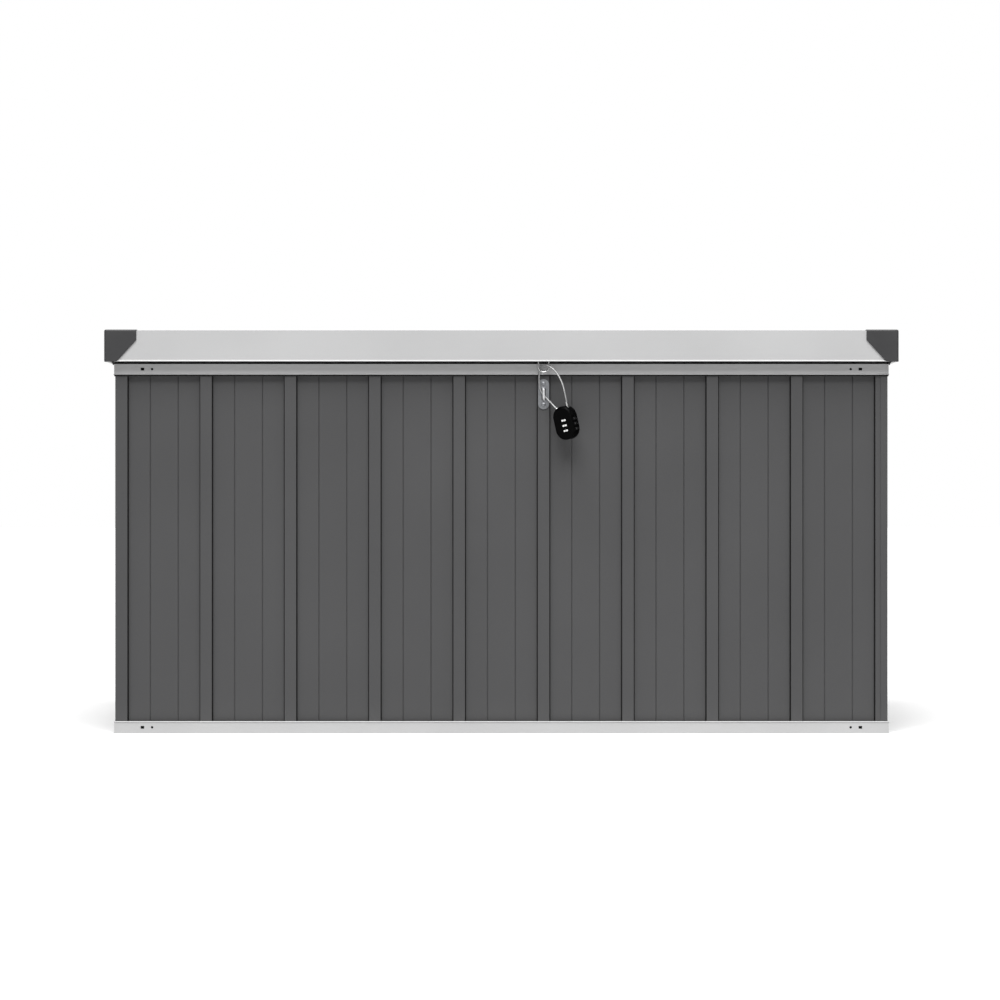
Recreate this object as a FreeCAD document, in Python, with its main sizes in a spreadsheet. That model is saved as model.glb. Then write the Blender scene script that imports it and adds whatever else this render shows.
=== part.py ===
import FreeCAD, Part
import math
import os
import re
import Sketcher

# Steel deck storage box with a lift-up lid, two gas struts, a hasp and a hanging combination cable lock.
# Millimetres. The origin is on the ground at the middle of the box, +Z is up, and the front faces -Y.

Vector = FreeCAD.Vector
Rotation = FreeCAD.Rotation
Placement = FreeCAD.Placement
X_AXIS = Vector(1, 0, 0)
Y_AXIS = Vector(0, 1, 0)
Z_AXIS = Vector(0, 0, 1)

SIZES = {
    # overall
    "lid_length": (1420, "lid from left to right, over the corner caps"),
    "lid_depth": (666, "lid from front to back"),
    "total_height": (723, "ground to the top of the lid"),
    "lid_height": (57, "height of the lid's side"),
    "lid_gap": (2, "gap between the closed lid and the top rail"),
    "overhang": (18.5, "lid beyond the rails at the front and the rear"),
    "side_overhang": (16, "lid beyond the rails at the left and the right"),
    # rails
    "rail_height": (22, "height of the top and bottom rails"),
    "rail_width": (13.3, "width of the rail channel"),
    "rail_steel": (1.2, "thickness of the rail steel"),
    "bead_radius": (1.3, "rolled edge of rails and lid rims"),
    "bead_inset": (0.4, "centre of the rolled edge behind the face"),
    "slot_from_end": (50.7, "square hole from the end of a rail"),
    "slot_width": (6.4, "square hole, along the rail"),
    "slot_height": (5, "square hole, upright"),
    "hole_from_end": (68, "round hole from the end of a rail"),
    "hole_radius": (2.2, "round hole in a rail"),
    # ribbed walls
    "rib_pitch": (151.3, "distance between ribs"),
    "rib_face": (20.5, "width of a rib's flat face"),
    "rib_slope": (2, "width of a rib's sloping side"),
    "rib_depth": (8, "how far a rib stands out of the wall"),
    "setback": (1.8, "rib face behind the rail face"),
    "wall_steel": (1, "thickness of the wall steel"),
    "groove_offset": (25, "fine groove from the middle of its bay"),
    "groove_half": (1.2, "half the width of a fine groove"),
    "groove_depth": (1, "depth of a fine groove"),
    "corner_lap": (12.5, "flange that laps round the corner on to the next wall"),
    "lap_step": (1.2, "set-back of the last rib under that flange"),
    "front_bays": (9, "bays across the front and the rear"),
    "side_bays": (4, "bays across each side"),
    # corner brackets
    "bracket_leg": (50, "leg of a corner bracket"),
    "bracket_steel": (2, "thickness of a corner bracket"),
    "bracket_height": (15, "height of a corner bracket"),
    "bracket_near_hole": (18, "first screw from the corner"),
    "bracket_far_hole": (38, "second screw from the corner"),
    # floor
    "bearer_width": (60, "width of a floor bearer"),
    "bearer_pitch": (452, "distance between floor bearers"),
    # lid
    "seal_thick": (1.4, "thickness of the rubber lips"),
    "rim_steel": (1.2, "thickness of the rim steel"),
    "cap_wall": (2, "thickness of a corner cap"),
    "cap_roof": (1.5, "thickness of a corner cap's top"),
    "cap_width": (57.7, "corner cap along the top edge"),
    "cap_upright": (18.5, "upright part of a cap's inner edge"),
    "cap_foot": (22.5, "corner cap along the bottom edge"),
    "rim_top_flange": (18.5, "width of the rim's top flange"),
    "rim_bottom_flange": (14, "width of the rim's bottom flange"),
    "tab_width": (16, "tab of the rim that carries a bumper"),
    "tab_reach": (16, "how far a tab stands in from the bottom flange"),
    "bumper_offset": (240, "bumper from the middle of the box"),
    "bumper_back": (7.5, "bumper behind the rail's face"),
    "bumper_radius": (4, "radius of a bumper"),
    "cap_upright_round": (4.5, "rounding of a cap's upright edge"),
    "cap_top_round": (3, "rounding of a cap's top edges"),
    "lip_wide": (7, "guide lip under a cap, from left to right"),
    "lip_back": (9, "guide lip behind the lid's face"),
    "lip_drop": (5.7, "guide lip below the lid"),
    "lip_hollow": (6.2, "radius of the guide lip's hollow side"),
    "lid_rib_depth": (2.4, "height of a rib on the lid's panel"),
    "stiffener_width": (50, "width of a lid stiffener"),
    "stiffener_height": (20, "height of a lid stiffener"),
    # hinges
    "hinge_offset": (430, "hinge from the middle of the box"),
    "hinge_width": (60, "width of a hinge"),
    "knuckle_radius": (5, "radius of a hinge knuckle"),
    "hinge_pin_radius": (2.5, "radius of the hinge pin"),
    "hinge_clearance": (0.3, "gap between knuckles"),
    "hinge_below_lid": (6, "hinge axis below the lid"),
    "leaf_steel": (2, "thickness of a hinge leaf"),
    "leaf_drop": (13.5, "foot of the box's leaf below the hinge axis"),
    "leaf_band": (8, "height of the box's leaf below its knuckles"),
    "leaf_reach": (9.5, "edge of the lid's leaf behind the hinge axis"),
    "hinge_hole": (22, "hinge screw from the middle of the hinge"),
    # gas struts
    "strut_offset": (650, "strut from the middle of the box"),
    "strut_reach": (300, "hinge axis to each end of a strut"),
    "strut_lower_angle": (71.7, "lower end below level, seen from the hinge axis"),
    "strut_upper_angle": (2.3, "upper end above level, seen from the hinge axis"),
    "tube_radius": (11, "outside of the strut tube"),
    "tube_bore": (9.2, "inside of the strut tube"),
    "tube_length": (290, "lower pivot to the mouth of the tube"),
    "rod_radius": (5, "radius of the strut rod"),
    "rod_length": (313, "upper pivot to the inner end of the rod"),
    "eye_radius": (9, "outside of a strut eye"),
    "eye_half": (6, "half the width of a strut eye"),
    "stud_radius": (4, "radius of the studs that carry the strut"),
    "plate_half_depth": (22, "half the depth of the strut's wall plate"),
    "plate_half_height": (26, "half the height of the strut's wall plate"),
    "angle_half_depth": (16, "half the depth of the strut's angle under the lid"),
    "angle_steel": (2.5, "thickness of that angle's web"),
    "web_side": (11.5, "that angle's web beyond the strut's middle"),
    "piston_length": (12, "length of the piston"),
    # hasp
    "hasp_width": (19.6, "width of the staple plate"),
    "hasp_length": (54, "length of the staple plate"),
    "hasp_centre": (608, "middle of the staple plate above the ground"),
    "hasp_steel": (1.5, "thickness of the staple plate"),
    "strap_width": (3.6, "width of the bowed strap"),
    "strap_half": (13, "half the length of the bowed strap"),
    "strap_space": (4, "space behind the bowed strap"),
    "rivet_spacing": (37.4, "distance between the rivets"),
    "strap_slope": (5.2, "length of the bowed strap's sloping ends"),
    "strap_steel": (1.4, "thickness of the bowed strap"),
    "window_half": (3.6, "half the width of the opening behind the strap"),
    "rivet_radius": (4, "radius of a rivet's head"),
    "rivet_shank": (2.4, "radius of a rivet's shank"),
    "rivet_tail": (3.4, "radius of a rivet's tail"),
    "loop_wire": (1.35, "radius of the lid loop's wire"),
    "loop_bend": (9.15, "bend radius of the lid loop"),
    "loop_bottom": (646, "bottom of the lid loop above the ground"),
    "loop_front": (322, "lid loop in front of the middle of the box"),
    "loop_inside": (12, "ends of the lid loop above the foot of the rim"),
    "nut_radius": (3.2, "corner radius of the loop's nuts"),
    "nut_height": (2.6, "height of the loop's nuts"),
    # cable lock
    "lock_width": (39, "width of the lock"),
    "lock_tall": (60, "height of the lock"),
    "lock_half": (12.5, "thickness of each half of the lock"),
    "lock_round": (19.2, "corner radius of the lock's outline"),
    "lock_wall": (2, "wall of the lock"),
    "lock_edge": (5, "rounding of the lock's edges"),
    "dial_radius": (10.7, "radius of a dial"),
    "dial_thick": (6, "thickness of a dial"),
    "dial_pitch": (9.3, "distance between dials"),
    "dial_side": (9.4, "dial axis to the right of the lock's middle"),
    "dial_drop": (4.5, "middle dial below the lock's middle"),
    "dial_slot_half": (8.6, "half the depth of a dial's slot in the case"),
    "dial_slot_wall": (5.5, "depth of a dial's slot from the side of the case"),
    "grip_count": (10, "grip grooves round a dial"),
    "grip_radius": (1.1, "radius of a grip groove"),
    "axle_radius": (3, "radius of the dial axle"),
    "running_gap": (0.08, "radial clearance on axles and pins"),
    "window_side": (2.5, "number window to the right of the lock's middle"),
    "window_width": (9, "width of a number window"),
    "window_tall": (3.2, "height of a number window"),
    "plug_side": (10, "cable plug to the right of the lock's middle"),
    "plug_radius": (2.2, "radius of the plug's shank"),
    "collar_radius": (2.7, "radius of the cable's end fittings"),
    "shoulder_lean": (38, "slant of the fixed cable end, square to the lock's left shoulder"),
    "button_radius": (4, "radius of the release button"),
    "button_proud": (1.2, "how far the release button stands out"),
    "cable_radius": (1.5, "radius of the cable"),
    # fasteners
    "screw_head": (3.5, "radius of a screw's head"),
    "screw_shank": (1.9, "radius of a screw's shank"),
    "head_height": (1.8, "height of a screw's head"),
}

doc = FreeCAD.newDocument("deck_box")
sheet = doc.addObject("Spreadsheet::Sheet", "size")
for row, (alias, (size, meaning)) in enumerate(SIZES.items(), start=1):
    sheet.set(f"A{row}", meaning)
    sheet.set(f"B{row}", str(size))
    sheet.setAlias(f"B{row}", alias)
doc.recompute()

# Lengths that follow from the driving dimensions.
RAIL_X = "(lid_length / 2 - side_overhang)"
RAIL_Y = "(lid_depth / 2 - overhang)"
LID_BOTTOM = "(total_height - lid_height)"
RAIL_TOP = "(total_height - lid_height - lid_gap)"
TOP_RAIL_FOOT = "(total_height - lid_height - lid_gap - rail_height)"
INNER_X = "(lid_length / 2 - side_overhang - rail_width)"
INNER_Y = "(lid_depth / 2 - overhang - rail_width)"
WALL_X = "(lid_length / 2 - side_overhang - setback - rib_depth - wall_steel)"
WALL_Y = "(lid_depth / 2 - overhang - setback - rib_depth - wall_steel)"
RIB_Y = "(lid_depth / 2 - overhang - setback)"
LID_CEILING = "(total_height - cap_roof - rim_steel - 0.1 - lid_rib_depth - wall_steel)"
HINGE_Y = "(lid_depth / 2 - overhang + 0.5 + knuckle_radius)"
HINGE_Z = "(total_height - lid_height - hinge_below_lid)"
LOWER_Y = f"({HINGE_Y} - strut_reach * cos(strut_lower_angle * 1deg))"
LOWER_Z = f"({HINGE_Z} - strut_reach * sin(strut_lower_angle * 1deg))"
UPPER_Y = f"({HINGE_Y} - strut_reach * cos(strut_upper_angle * 1deg))"
UPPER_Z = f"({HINGE_Z} + strut_reach * sin(strut_upper_angle * 1deg))"
STRUT_TILT = "((strut_lower_angle - strut_upper_angle) / 2)"
HASP_X = "(rib_pitch / 2)"

SIDES = (("left", -1), ("right", 1))
kept = []


def bound(expression):
    """The expression with each driving dimension written as a cell of the sheet."""
    def in_sheet(word):
        return "size." + word[0] if word[0] in SIZES else word[0]

    return re.sub(r"[a-z_]+", in_sheet, str(expression))


def number(expression):
    """What an expression of driving dimensions comes to."""
    result = sheet.evalExpression(bound(expression))
    return float(getattr(result, "Value", result))


def bind(thing, prop, expression):
    thing.setExpression(prop, bound(expression))


def move(thing, x="0", y="0", z="0", turn=Rotation()):
    """Places an object by expressions, after a fixed turn."""
    thing.Placement = Placement(Vector(), turn)
    for axis, expression in (("x", x), ("y", y), ("z", z)):
        bind(thing, f"Placement.Base.{axis}", expression)


def keep(label, thing):
    """Makes an object a sub-part, named by its label."""
    thing.Label = label
    kept.append(thing)
    return thing


def block(x, y, z):
    """A box between a lower and an upper expression on each axis."""
    box = doc.addObject("Part::Box", "Block")
    for side, axis, (low, high) in (("Length", "x", x), ("Width", "y", y), ("Height", "z", z)):
        bind(box, side, f"({high}) - ({low})")
        bind(box, f"Placement.Base.{axis}", low)
    return box


TURNS = {"x": Rotation(Y_AXIS, 90), "y": Rotation(X_AXIS, -90), "z": Rotation()}


def round_bar(along, radius, start, end, x="0", y="0", z="0"):
    """A cylinder along an axis, from start to end on it."""
    bar = doc.addObject("Part::Cylinder", "Bar")
    bind(bar, "Radius", radius)
    bind(bar, "Height", f"({end}) - ({start})")
    place = {"x": x, "y": y, "z": z}
    place[along] = start
    move(bar, turn=TURNS[along], **place)
    return bar


def join(*pieces):
    """One solid of pieces that overlap."""
    fused = doc.addObject("Part::MultiFuse", "Join")
    fused.Shapes = list(pieces)
    fused.Refine = True
    return fused


def group(*pieces):
    """Separate solids that are one sub-part."""
    several = doc.addObject("Part::Compound", "Group")
    several.Links = list(pieces)
    return several


def cut(base, *tools):
    less = doc.addObject("Part::Cut", "Less")
    less.Base = base
    less.Tool = tools[0] if len(tools) == 1 else join(*tools)
    less.Refine = True
    return less


def new_body(name):
    return doc.addObject("PartDesign::Body", name)


def plane(body, role):
    return next(feature for feature in body.Origin.OriginFeatures if feature.Role == role)


def new_sketch(body, role):
    sketch = body.newObject("Sketcher::SketchObject", "Sketch")
    sketch.AttachmentSupport = [(plane(body, role), "")]
    sketch.MapMode = "FlatFace"
    return sketch


def pin_point(sketch, line, end, across, up):
    """Holds one end of a line at two expressions from the sketch's origin."""
    for kind, expression, axis in (("DistanceX", across, -2), ("DistanceY", up, -1)):
        where = number(expression)
        if abs(where) < 1e-9:
            sketch.addConstraint(Sketcher.Constraint("PointOnObject", line, end, axis))
            continue
        index = sketch.addConstraint(Sketcher.Constraint(kind, -1, 1, line, end, where))
        bind(sketch, f"Constraints[{index}]", expression)


def outline(sketch, corners):
    """A closed outline whose corners are pairs of expressions."""
    points = [Vector(number(across), number(up), 0) for across, up in corners]
    first = sketch.GeometryCount
    for start, end in zip(points, points[1:] + points[:1]):
        sketch.addGeometry(Part.LineSegment(start, end), False)
    count = len(points)
    for index in range(count):
        here, after = first + index, first + (index + 1) % count
        sketch.addConstraint(Sketcher.Constraint("Coincident", here, 2, after, 1))
    for index, (across, up) in enumerate(corners):
        pin_point(sketch, first + index, 1, across, up)


def ring(sketch, radius, across, up):
    """A circle of a bound radius and centre."""
    centre = Vector(number(across), number(up), 0)
    index = sketch.addGeometry(Part.Circle(centre, Z_AXIS, number(radius)), False)
    size = sketch.addConstraint(Sketcher.Constraint("Radius", index, number(radius)))
    bind(sketch, f"Constraints[{size}]", radius)
    pin_point(sketch, index, 3, across, up)


def rectangle(sketch, left, right, low, high):
    outline(sketch, [(left, low), (right, low), (right, high), (left, high)])


def pad(body, sketch, length, middle=False, back=False):
    feature = body.newObject("PartDesign::Pad", "Pad")
    feature.Profile = sketch
    feature.Midplane = middle
    feature.Reversed = back
    bind(feature, "Length", length)
    doc.recompute()
    return feature


def pocket(body, sketch, length, middle=False, back=False):
    """A cut of the given depth, which must take something away."""
    before = body.Tip.Shape.Volume
    feature = body.newObject("PartDesign::Pocket", "Pocket")
    feature.Profile = sketch
    feature.Midplane = middle
    feature.Reversed = back
    bind(feature, "Length", length)
    doc.recompute()
    if feature.Shape.Volume > before - 1e-3:
        raise ValueError(f"{body.Name}: a pocket cuts nothing")
    return feature


def edges(shape, test):
    return [index for index, edge in enumerate(shape.Edges, start=1) if test(edge.BoundBox)]


def channel(body, half_length, corners, bead_height):
    """A folded steel strip along X with a rolled edge, its face at y = 0."""
    profile = new_sketch(body, "YZ_Plane")
    outline(profile, corners)
    strip = pad(body, profile, f"2 * {half_length}", middle=True)
    edge = new_sketch(body, "YZ_Plane")
    ring(edge, "bead_radius", "bead_inset", bead_height)
    pad(body, edge, f"2 * {half_length}", middle=True)
    return strip


def rail(label, half_length, top, punched):
    """A channel whose ends are mitred: open upwards on the ground, open downwards under the lid."""
    body = new_body(label)
    steel, wide, tall = "rail_steel", "rail_width", "rail_height"
    web_low, web_high = ("rail_height - rail_steel", tall) if top else ("0", steel)
    if top:
        corners = [("0", "0"), (steel, "0"), (steel, web_low), (f"{wide} - {steel}", web_low),
                   (f"{wide} - {steel}", "0"), (wide, "0"), (wide, tall), ("0", tall)]
    else:
        corners = [("0", "0"), (wide, "0"), (wide, tall), (f"{wide} - {steel}", tall),
                   (f"{wide} - {steel}", web_high), (steel, web_high), (steel, tall), ("0", tall)]
    channel(body, half_length, corners, "bead_radius" if top else "rail_height - bead_radius")
    mitre = new_sketch(body, "XY_Plane")
    past = f"({wide} + 2)"
    for side in ("", "-"):
        outline(mitre, [(f"{side}({half_length} + 2)", "-2"), (f"{side}({half_length} + 2)", past),
                        (f"{side}({half_length} - {past})", past)])
    pocket(body, mitre, f"4 * {tall}", middle=True)
    if punched:
        holes = new_sketch(body, "XZ_Plane")
        for side in (-1, 1):
            middle = f"{side} * ({half_length} - slot_from_end)"
            rectangle(holes, f"{middle} - slot_width / 2", f"{middle} + slot_width / 2",
                      f"{tall} / 2 - slot_height / 2", f"{tall} / 2 + slot_height / 2")
            ring(holes, "hole_radius", f"{side} * ({half_length} - hole_from_end)", f"{tall} / 2")
        pocket(body, holes, f"3 * {steel}")
    return body


# Each wall's name, its turn about Z and half its length.
WALLS = (
    ("front", 0, RAIL_X),
    ("rear", 180, RAIL_X),
    ("left", -90, RAIL_Y),
    ("right", 90, RAIL_Y),
)


def set_in(name, half_x, half_y, inset="0"):
    """X and Y of a wall's face, some way inside the faces at half_x and half_y."""
    return {
        "front": ("0", f"-({half_y} - {inset})"),
        "rear": ("0", f"{half_y} - {inset}"),
        "left": (f"-({half_x} - {inset})", "0"),
        "right": (f"{half_x} - {inset}", "0"),
    }[name]


def rails():
    for name, angle, half_length in WALLS:
        for level, foot in (("bottom", "0"), ("top", TOP_RAIL_FOOT)):
            body = rail(f"{level}_rail_{name}", half_length, level == "top", name in ("front", "rear"))
            move(body, *set_in(name, RAIL_X, RAIL_Y), foot, Rotation(Z_AXIS, angle))
            keep(body.Name, body)


def sheet_outline(outer, way_out):
    """The closed outline of a folded sheet: its outer line, and the same line one thickness behind it.

    The outer line is pairs of expressions, across and outwards. Where outwards is up in the sketch, way_out
    is 1, and otherwise -1.
    """
    steel = number("wall_steel") * way_out
    points = [Vector(number(across), number(out) * way_out, 0) for across, out in outer]
    ways = [(after - here).normalize() for here, after in zip(points, points[1:])]
    inner = []
    for index, point in enumerate(points):
        before, after = ways[max(index - 1, 0)], ways[min(index, len(ways) - 1)]
        behind = Vector(before.y + after.y, -before.x - after.x, 0)
        inner.append(point + behind * (steel / (1 + before.dot(after))))
    return points + inner[::-1]


def ribbed_line(bays, depth, middles):
    """Feet, faces and grooves of the ribs and bays across a wall, from left to right."""
    line = []
    for index in range(bays):
        middle = f"{index - (bays - 1) / 2} * rib_pitch"
        for groove in (f"{middle} - groove_offset", f"{middle} + groove_offset"):
            line.append((f"{groove} - groove_half", "0"))
            line.append((groove, "-groove_depth"))
            line.append((f"{groove} + groove_half", "0"))
        if index < bays - 1:
            rib = f"({middle} + rib_pitch / 2)"
            line += [(f"{rib} - rib_face / 2 - rib_slope", "0"), (f"{rib} - rib_face / 2", depth),
                     (f"{rib} + rib_face / 2", depth), (f"{rib} + rib_face / 2 + rib_slope", "0")]
    edge = f"({bays} / 2 * rib_pitch - rib_face / 2)"
    low, high = middles
    return ([(f"-{edge}", low), (f"-({edge} - rib_slope)", "0")] + line
            + [(f"{edge} - rib_slope", "0"), (edge, high)])


def fixed_outline(body, role, points):
    """A sketch of a folded sheet's outline."""
    sketch = new_sketch(body, role)
    for start, end in zip(points, points[1:] + points[:1]):
        sketch.addGeometry(Part.LineSegment(start, end), False)
    return sketch


def wall(label, bays, half_width):
    """A ribbed wall. Its left end laps round the corner, and its right end is set back under the next lap."""
    body = new_body(label)
    last = "rib_depth - lap_step"
    corner = f"({half_width} - setback)"
    line = [(f"-{corner}", "rib_depth - corner_lap"), (f"-{corner}", "rib_depth")]
    line += ribbed_line(bays, "rib_depth", ("rib_depth", last))
    line += [(f"{corner} - lap_step - 0.3", last)]
    pad(body, fixed_outline(body, "XY_Plane", sheet_outline(line, -1)),
        f"{RAIL_TOP} - 2 * rail_steel - 2")
    return body


def walls():
    for name, angle, half_length in WALLS:
        bays = int(number("front_bays" if name in ("front", "rear") else "side_bays"))
        body = wall(f"{name}_panel", bays, half_length)
        place = set_in(name, RAIL_X, RAIL_Y, "(setback + rib_depth)")
        move(body, *place, "rail_steel + 1", Rotation(Z_AXIS, angle))
        keep(body.Name, body)


def inwards(origin, side, near, far):
    """The ends of a stretch between two distances inwards of an origin on the right (side 1) or left (-1)."""
    ends = (f"{origin} - {side} * ({far})", f"{origin} - {side} * ({near})")
    return ends if side > 0 else ends[::-1]


def screw(along, side, origin, head_at, **at):
    """A screw along an axis that passes through a bracket into the steel behind it."""
    head_end = f"{head_at} + head_height"
    return join(round_bar(along, "screw_shank", *inwards(origin, side, "-rail_steel", head_at), **at),
                round_bar(along, "screw_head", *inwards(origin, side, head_at, head_end), **at))


def corner_bracket(x_side, y_side, foot):
    """An angle bracket inside one corner, and its four screws."""
    x_in, y_in = f"{x_side} * {INNER_X}", f"{y_side} * {INNER_Y}"
    leg, steel, upright = "bracket_leg", "bracket_steel", (foot, f"{foot} + bracket_height")
    bracket = join(block(inwards(x_in, x_side, 0, leg), inwards(y_in, y_side, 0, steel), upright),
                   block(inwards(x_in, x_side, 0, steel), inwards(y_in, y_side, 0, leg), upright))
    middle = f"{foot} + bracket_height / 2"
    screws = []
    for hole in ("bracket_near_hole", "bracket_far_hole"):
        screws.append(screw("y", y_side, y_in, steel, x=f"{x_in} - {x_side} * {hole}", z=middle))
        screws.append(screw("x", x_side, x_in, steel, y=f"{y_in} - {y_side} * {hole}", z=middle))
    return bracket, screws


def corner_brackets():
    """Angle brackets inside the four corners of the bottom and top rails, with their screws."""
    brackets, screws = [], []
    for foot in ("4", f"{TOP_RAIL_FOOT} + 3"):
        for x_side in (-1, 1):
            for y_side in (-1, 1):
                bracket, its_screws = corner_bracket(x_side, y_side, foot)
                brackets.append(bracket)
                screws += its_screws
    keep("corner_brackets", group(*brackets))
    keep("bracket_screws", group(*screws))


def floor():
    """A flat floor sheet on three hat-shaped bearers that stand on the ground between the rails."""
    edge_x, edge_y = f"({WALL_X} - 1.3)", f"({WALL_Y} - 1.3)"
    top = "rail_height + wall_steel"
    keep("floor_panel", group(block((f"-{edge_x}", edge_x), (f"-{edge_y}", edge_y), ("rail_height", top))))
    bearers = []
    for place in (-1, 0, 1):
        middle = f"{place} * bearer_pitch"
        left, right = f"{middle} - bearer_width / 2", f"{middle} + bearer_width / 2"
        ends = (f"-({INNER_Y} - 0.3)", f"{INNER_Y} - 0.3")
        past = (f"-{INNER_Y} - 1", f"{INNER_Y} + 1")
        hollow = block((f"{left} + rail_steel", f"{right} - rail_steel"), past,
                       ("-1", "rail_height - rail_steel"))
        bearers.append(cut(block((left, right), ends, ("0", "rail_height")), hollow))
    keep("floor_bearers", group(*bearers))


def lid_rims():
    """Four folded rims: an upright face with a rolled foot, a top flange and a bottom flange. The front and
    rear rims have tabs for the bumpers."""
    steel = "rim_steel"
    top = "(lid_height - cap_roof)"
    corners = [("0", "0"), ("rim_bottom_flange", "0"), ("rim_bottom_flange", steel), (steel, steel),
               (steel, f"{top} - {steel}"), ("rim_top_flange", f"{top} - {steel}"),
               ("rim_top_flange", top), ("0", top)]
    for name, angle, half_length in WALLS:
        body = new_body(f"lid_rim_{name}")
        channel(body, f"({half_length} - cap_wall)", corners, "bead_radius")
        if name in ("front", "rear"):
            tabs = new_sketch(body, "XY_Plane")
            for side in (-1, 1):
                middle = f"{side} * bumper_offset"
                rectangle(tabs, f"{middle} - tab_width / 2", f"{middle} + tab_width / 2",
                          "rim_bottom_flange - 1", "rim_bottom_flange + tab_reach")
            pad(body, tabs, steel)
        place = set_in(name, "(lid_length / 2)", "(lid_depth / 2)", "cap_wall")
        move(body, *place, LID_BOTTOM, Rotation(Z_AXIS, angle))
        keep(body.Name, body)


def lid_panel():
    """The lid's skin: low ribs from front to back, like those of the walls, and flat margins."""
    body = new_body("lid_top_panel")
    margin = "(lid_length / 2 - cap_wall - rim_steel - 0.4)"
    line = [(f"-{margin}", "lid_rib_depth")]
    line += ribbed_line(int(number("front_bays")), "lid_rib_depth", ("lid_rib_depth", "lid_rib_depth"))
    line += [(margin, "lid_rib_depth")]
    pad(body, fixed_outline(body, "XZ_Plane", sheet_outline(line, 1)),
        "lid_depth - 2 * (cap_wall + rim_steel + 0.4)", middle=True)
    move(body, z=f"{LID_CEILING} + wall_steel")
    keep(body.Name, body)


def lid_stiffeners():
    """Three hat sections under the lid's skin, from front to back."""
    hats = []
    for place in (-1, 0, 1):
        middle = f"{place} * bearer_pitch"
        left, right = f"{middle} - stiffener_width / 2", f"{middle} + stiffener_width / 2"
        top, foot = f"{LID_CEILING} - 1.4", f"{LID_CEILING} - 1.4 - stiffener_height"
        ends = (f"-({RAIL_Y} - 3)", f"{RAIL_Y} - 3")
        past = (f"-{RAIL_Y}", RAIL_Y)
        hollow = block((f"{left} + rim_steel", f"{right} - rim_steel"), past,
                       (f"{foot} + rim_steel", f"{top} + 1"))
        hats.append(cut(block((left, right), ends, (foot, top)), hollow))
    keep("lid_stiffeners", group(*hats))


def corner_cap(label, x_side, y_side):
    """A plastic shell over a corner of the lid, cut on the slant towards its foot, with a guide lip below."""
    wide, tall = "cap_width", "lid_height"
    outer = block(("0", wide), ("0", wide), ("0", tall))
    doc.recompute()
    soft = doc.addObject("Part::Fillet", "Rounded")
    soft.Base = outer
    top = number(tall)
    upright = edges(outer.Shape, lambda box: box.XMax < 1e-6 and box.YMax < 1e-6)
    rims = edges(outer.Shape, lambda box: box.ZMin > top - 1e-6 and min(box.XMax, box.YMax) < 1e-6)
    corner, top_edge = number("cap_upright_round"), number("cap_top_round")
    soft.Edges = [(index, corner, corner) for index in upright]
    soft.Edges += [(index, top_edge, top_edge) for index in rims]
    inner = block(("cap_wall", f"{wide} + 1"), ("cap_wall", f"{wide} + 1"), ("-1", f"{tall} - cap_roof"))
    slant = [("cap_foot", "-1"), ("cap_foot", "0"), (wide, f"{tall} - cap_upright"),
             (f"{wide} + 1", f"{tall} - cap_upright"), (f"{wide} + 1", "-1")]
    front = new_body(f"{label}_front_cut")
    sketch = new_sketch(front, "XZ_Plane")
    outline(sketch, slant)
    pad(front, sketch, "2 * cap_foot", middle=True)
    side = new_body(f"{label}_side_cut")
    sketch = new_sketch(side, "YZ_Plane")
    outline(sketch, slant)
    pad(side, sketch, "2 * cap_foot", middle=True)
    roof = new_body(f"{label}_roof_cut")
    sketch = new_sketch(roof, "XY_Plane")
    outline(sketch, [(f"{wide} + 1", "cap_upright"), (wide, "cap_upright"), ("cap_upright", wide),
                     ("cap_upright", f"{wide} + 1"), (f"{wide} + 1", f"{wide} + 1")])
    pad(roof, sketch, f"2 * {tall}", middle=True)
    shell = cut(soft, inner, front, side, roof)
    reach_x, reach_y = "(side_overhang - 0.3)", "(overhang - 0.3)"
    sole = block(("1", reach_x), ("1", reach_y), ("0", "cap_roof"))
    lip_block = block((f"{reach_x} - lip_wide", reach_x), ("lip_back", reach_y), ("-lip_drop", "0.5"))
    hollow = round_bar("y", "lip_hollow", "lip_back - 1", "overhang + 1",
                       x=f"{reach_x} - lip_wide - 0.2", z="-lip_hollow")
    cap = join(shell, sole, cut(lip_block, hollow))
    if x_side * y_side < 0:
        mirrored = doc.addObject("Part::Mirroring", "Mirrored")
        mirrored.Source = cap
        mirrored.Normal = X_AXIS
        cap = mirrored
    whole = group(cap)
    turn = 180 if y_side > 0 else 0
    move(whole, f"{x_side} * lid_length / 2", f"{y_side} * lid_depth / 2", LID_BOTTOM,
         Rotation(Z_AXIS, turn))
    keep(label, whole)


def corner_caps():
    for y_name, y_side in (("front", -1), ("rear", 1)):
        for x_name, x_side in SIDES:
            corner_cap(f"corner_cap_{y_name}_{x_name}", x_side, y_side)


def lid_bumpers():
    """Rubber buttons under the lid's front and rear rims that meet the top of the rails."""
    pads = []
    for x_place in (-1, 1):
        for y_side in (-1, 1):
            pads.append(round_bar("z", "bumper_radius", f"{LID_BOTTOM} - lid_gap + 0.3",
                                  f"{LID_BOTTOM} + 0.8 * rim_steel", x=f"{x_place} * bumper_offset",
                                  y=f"{y_side} * ({RAIL_Y} - bumper_back)"))
    keep("lid_bumpers", group(*pads))


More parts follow.
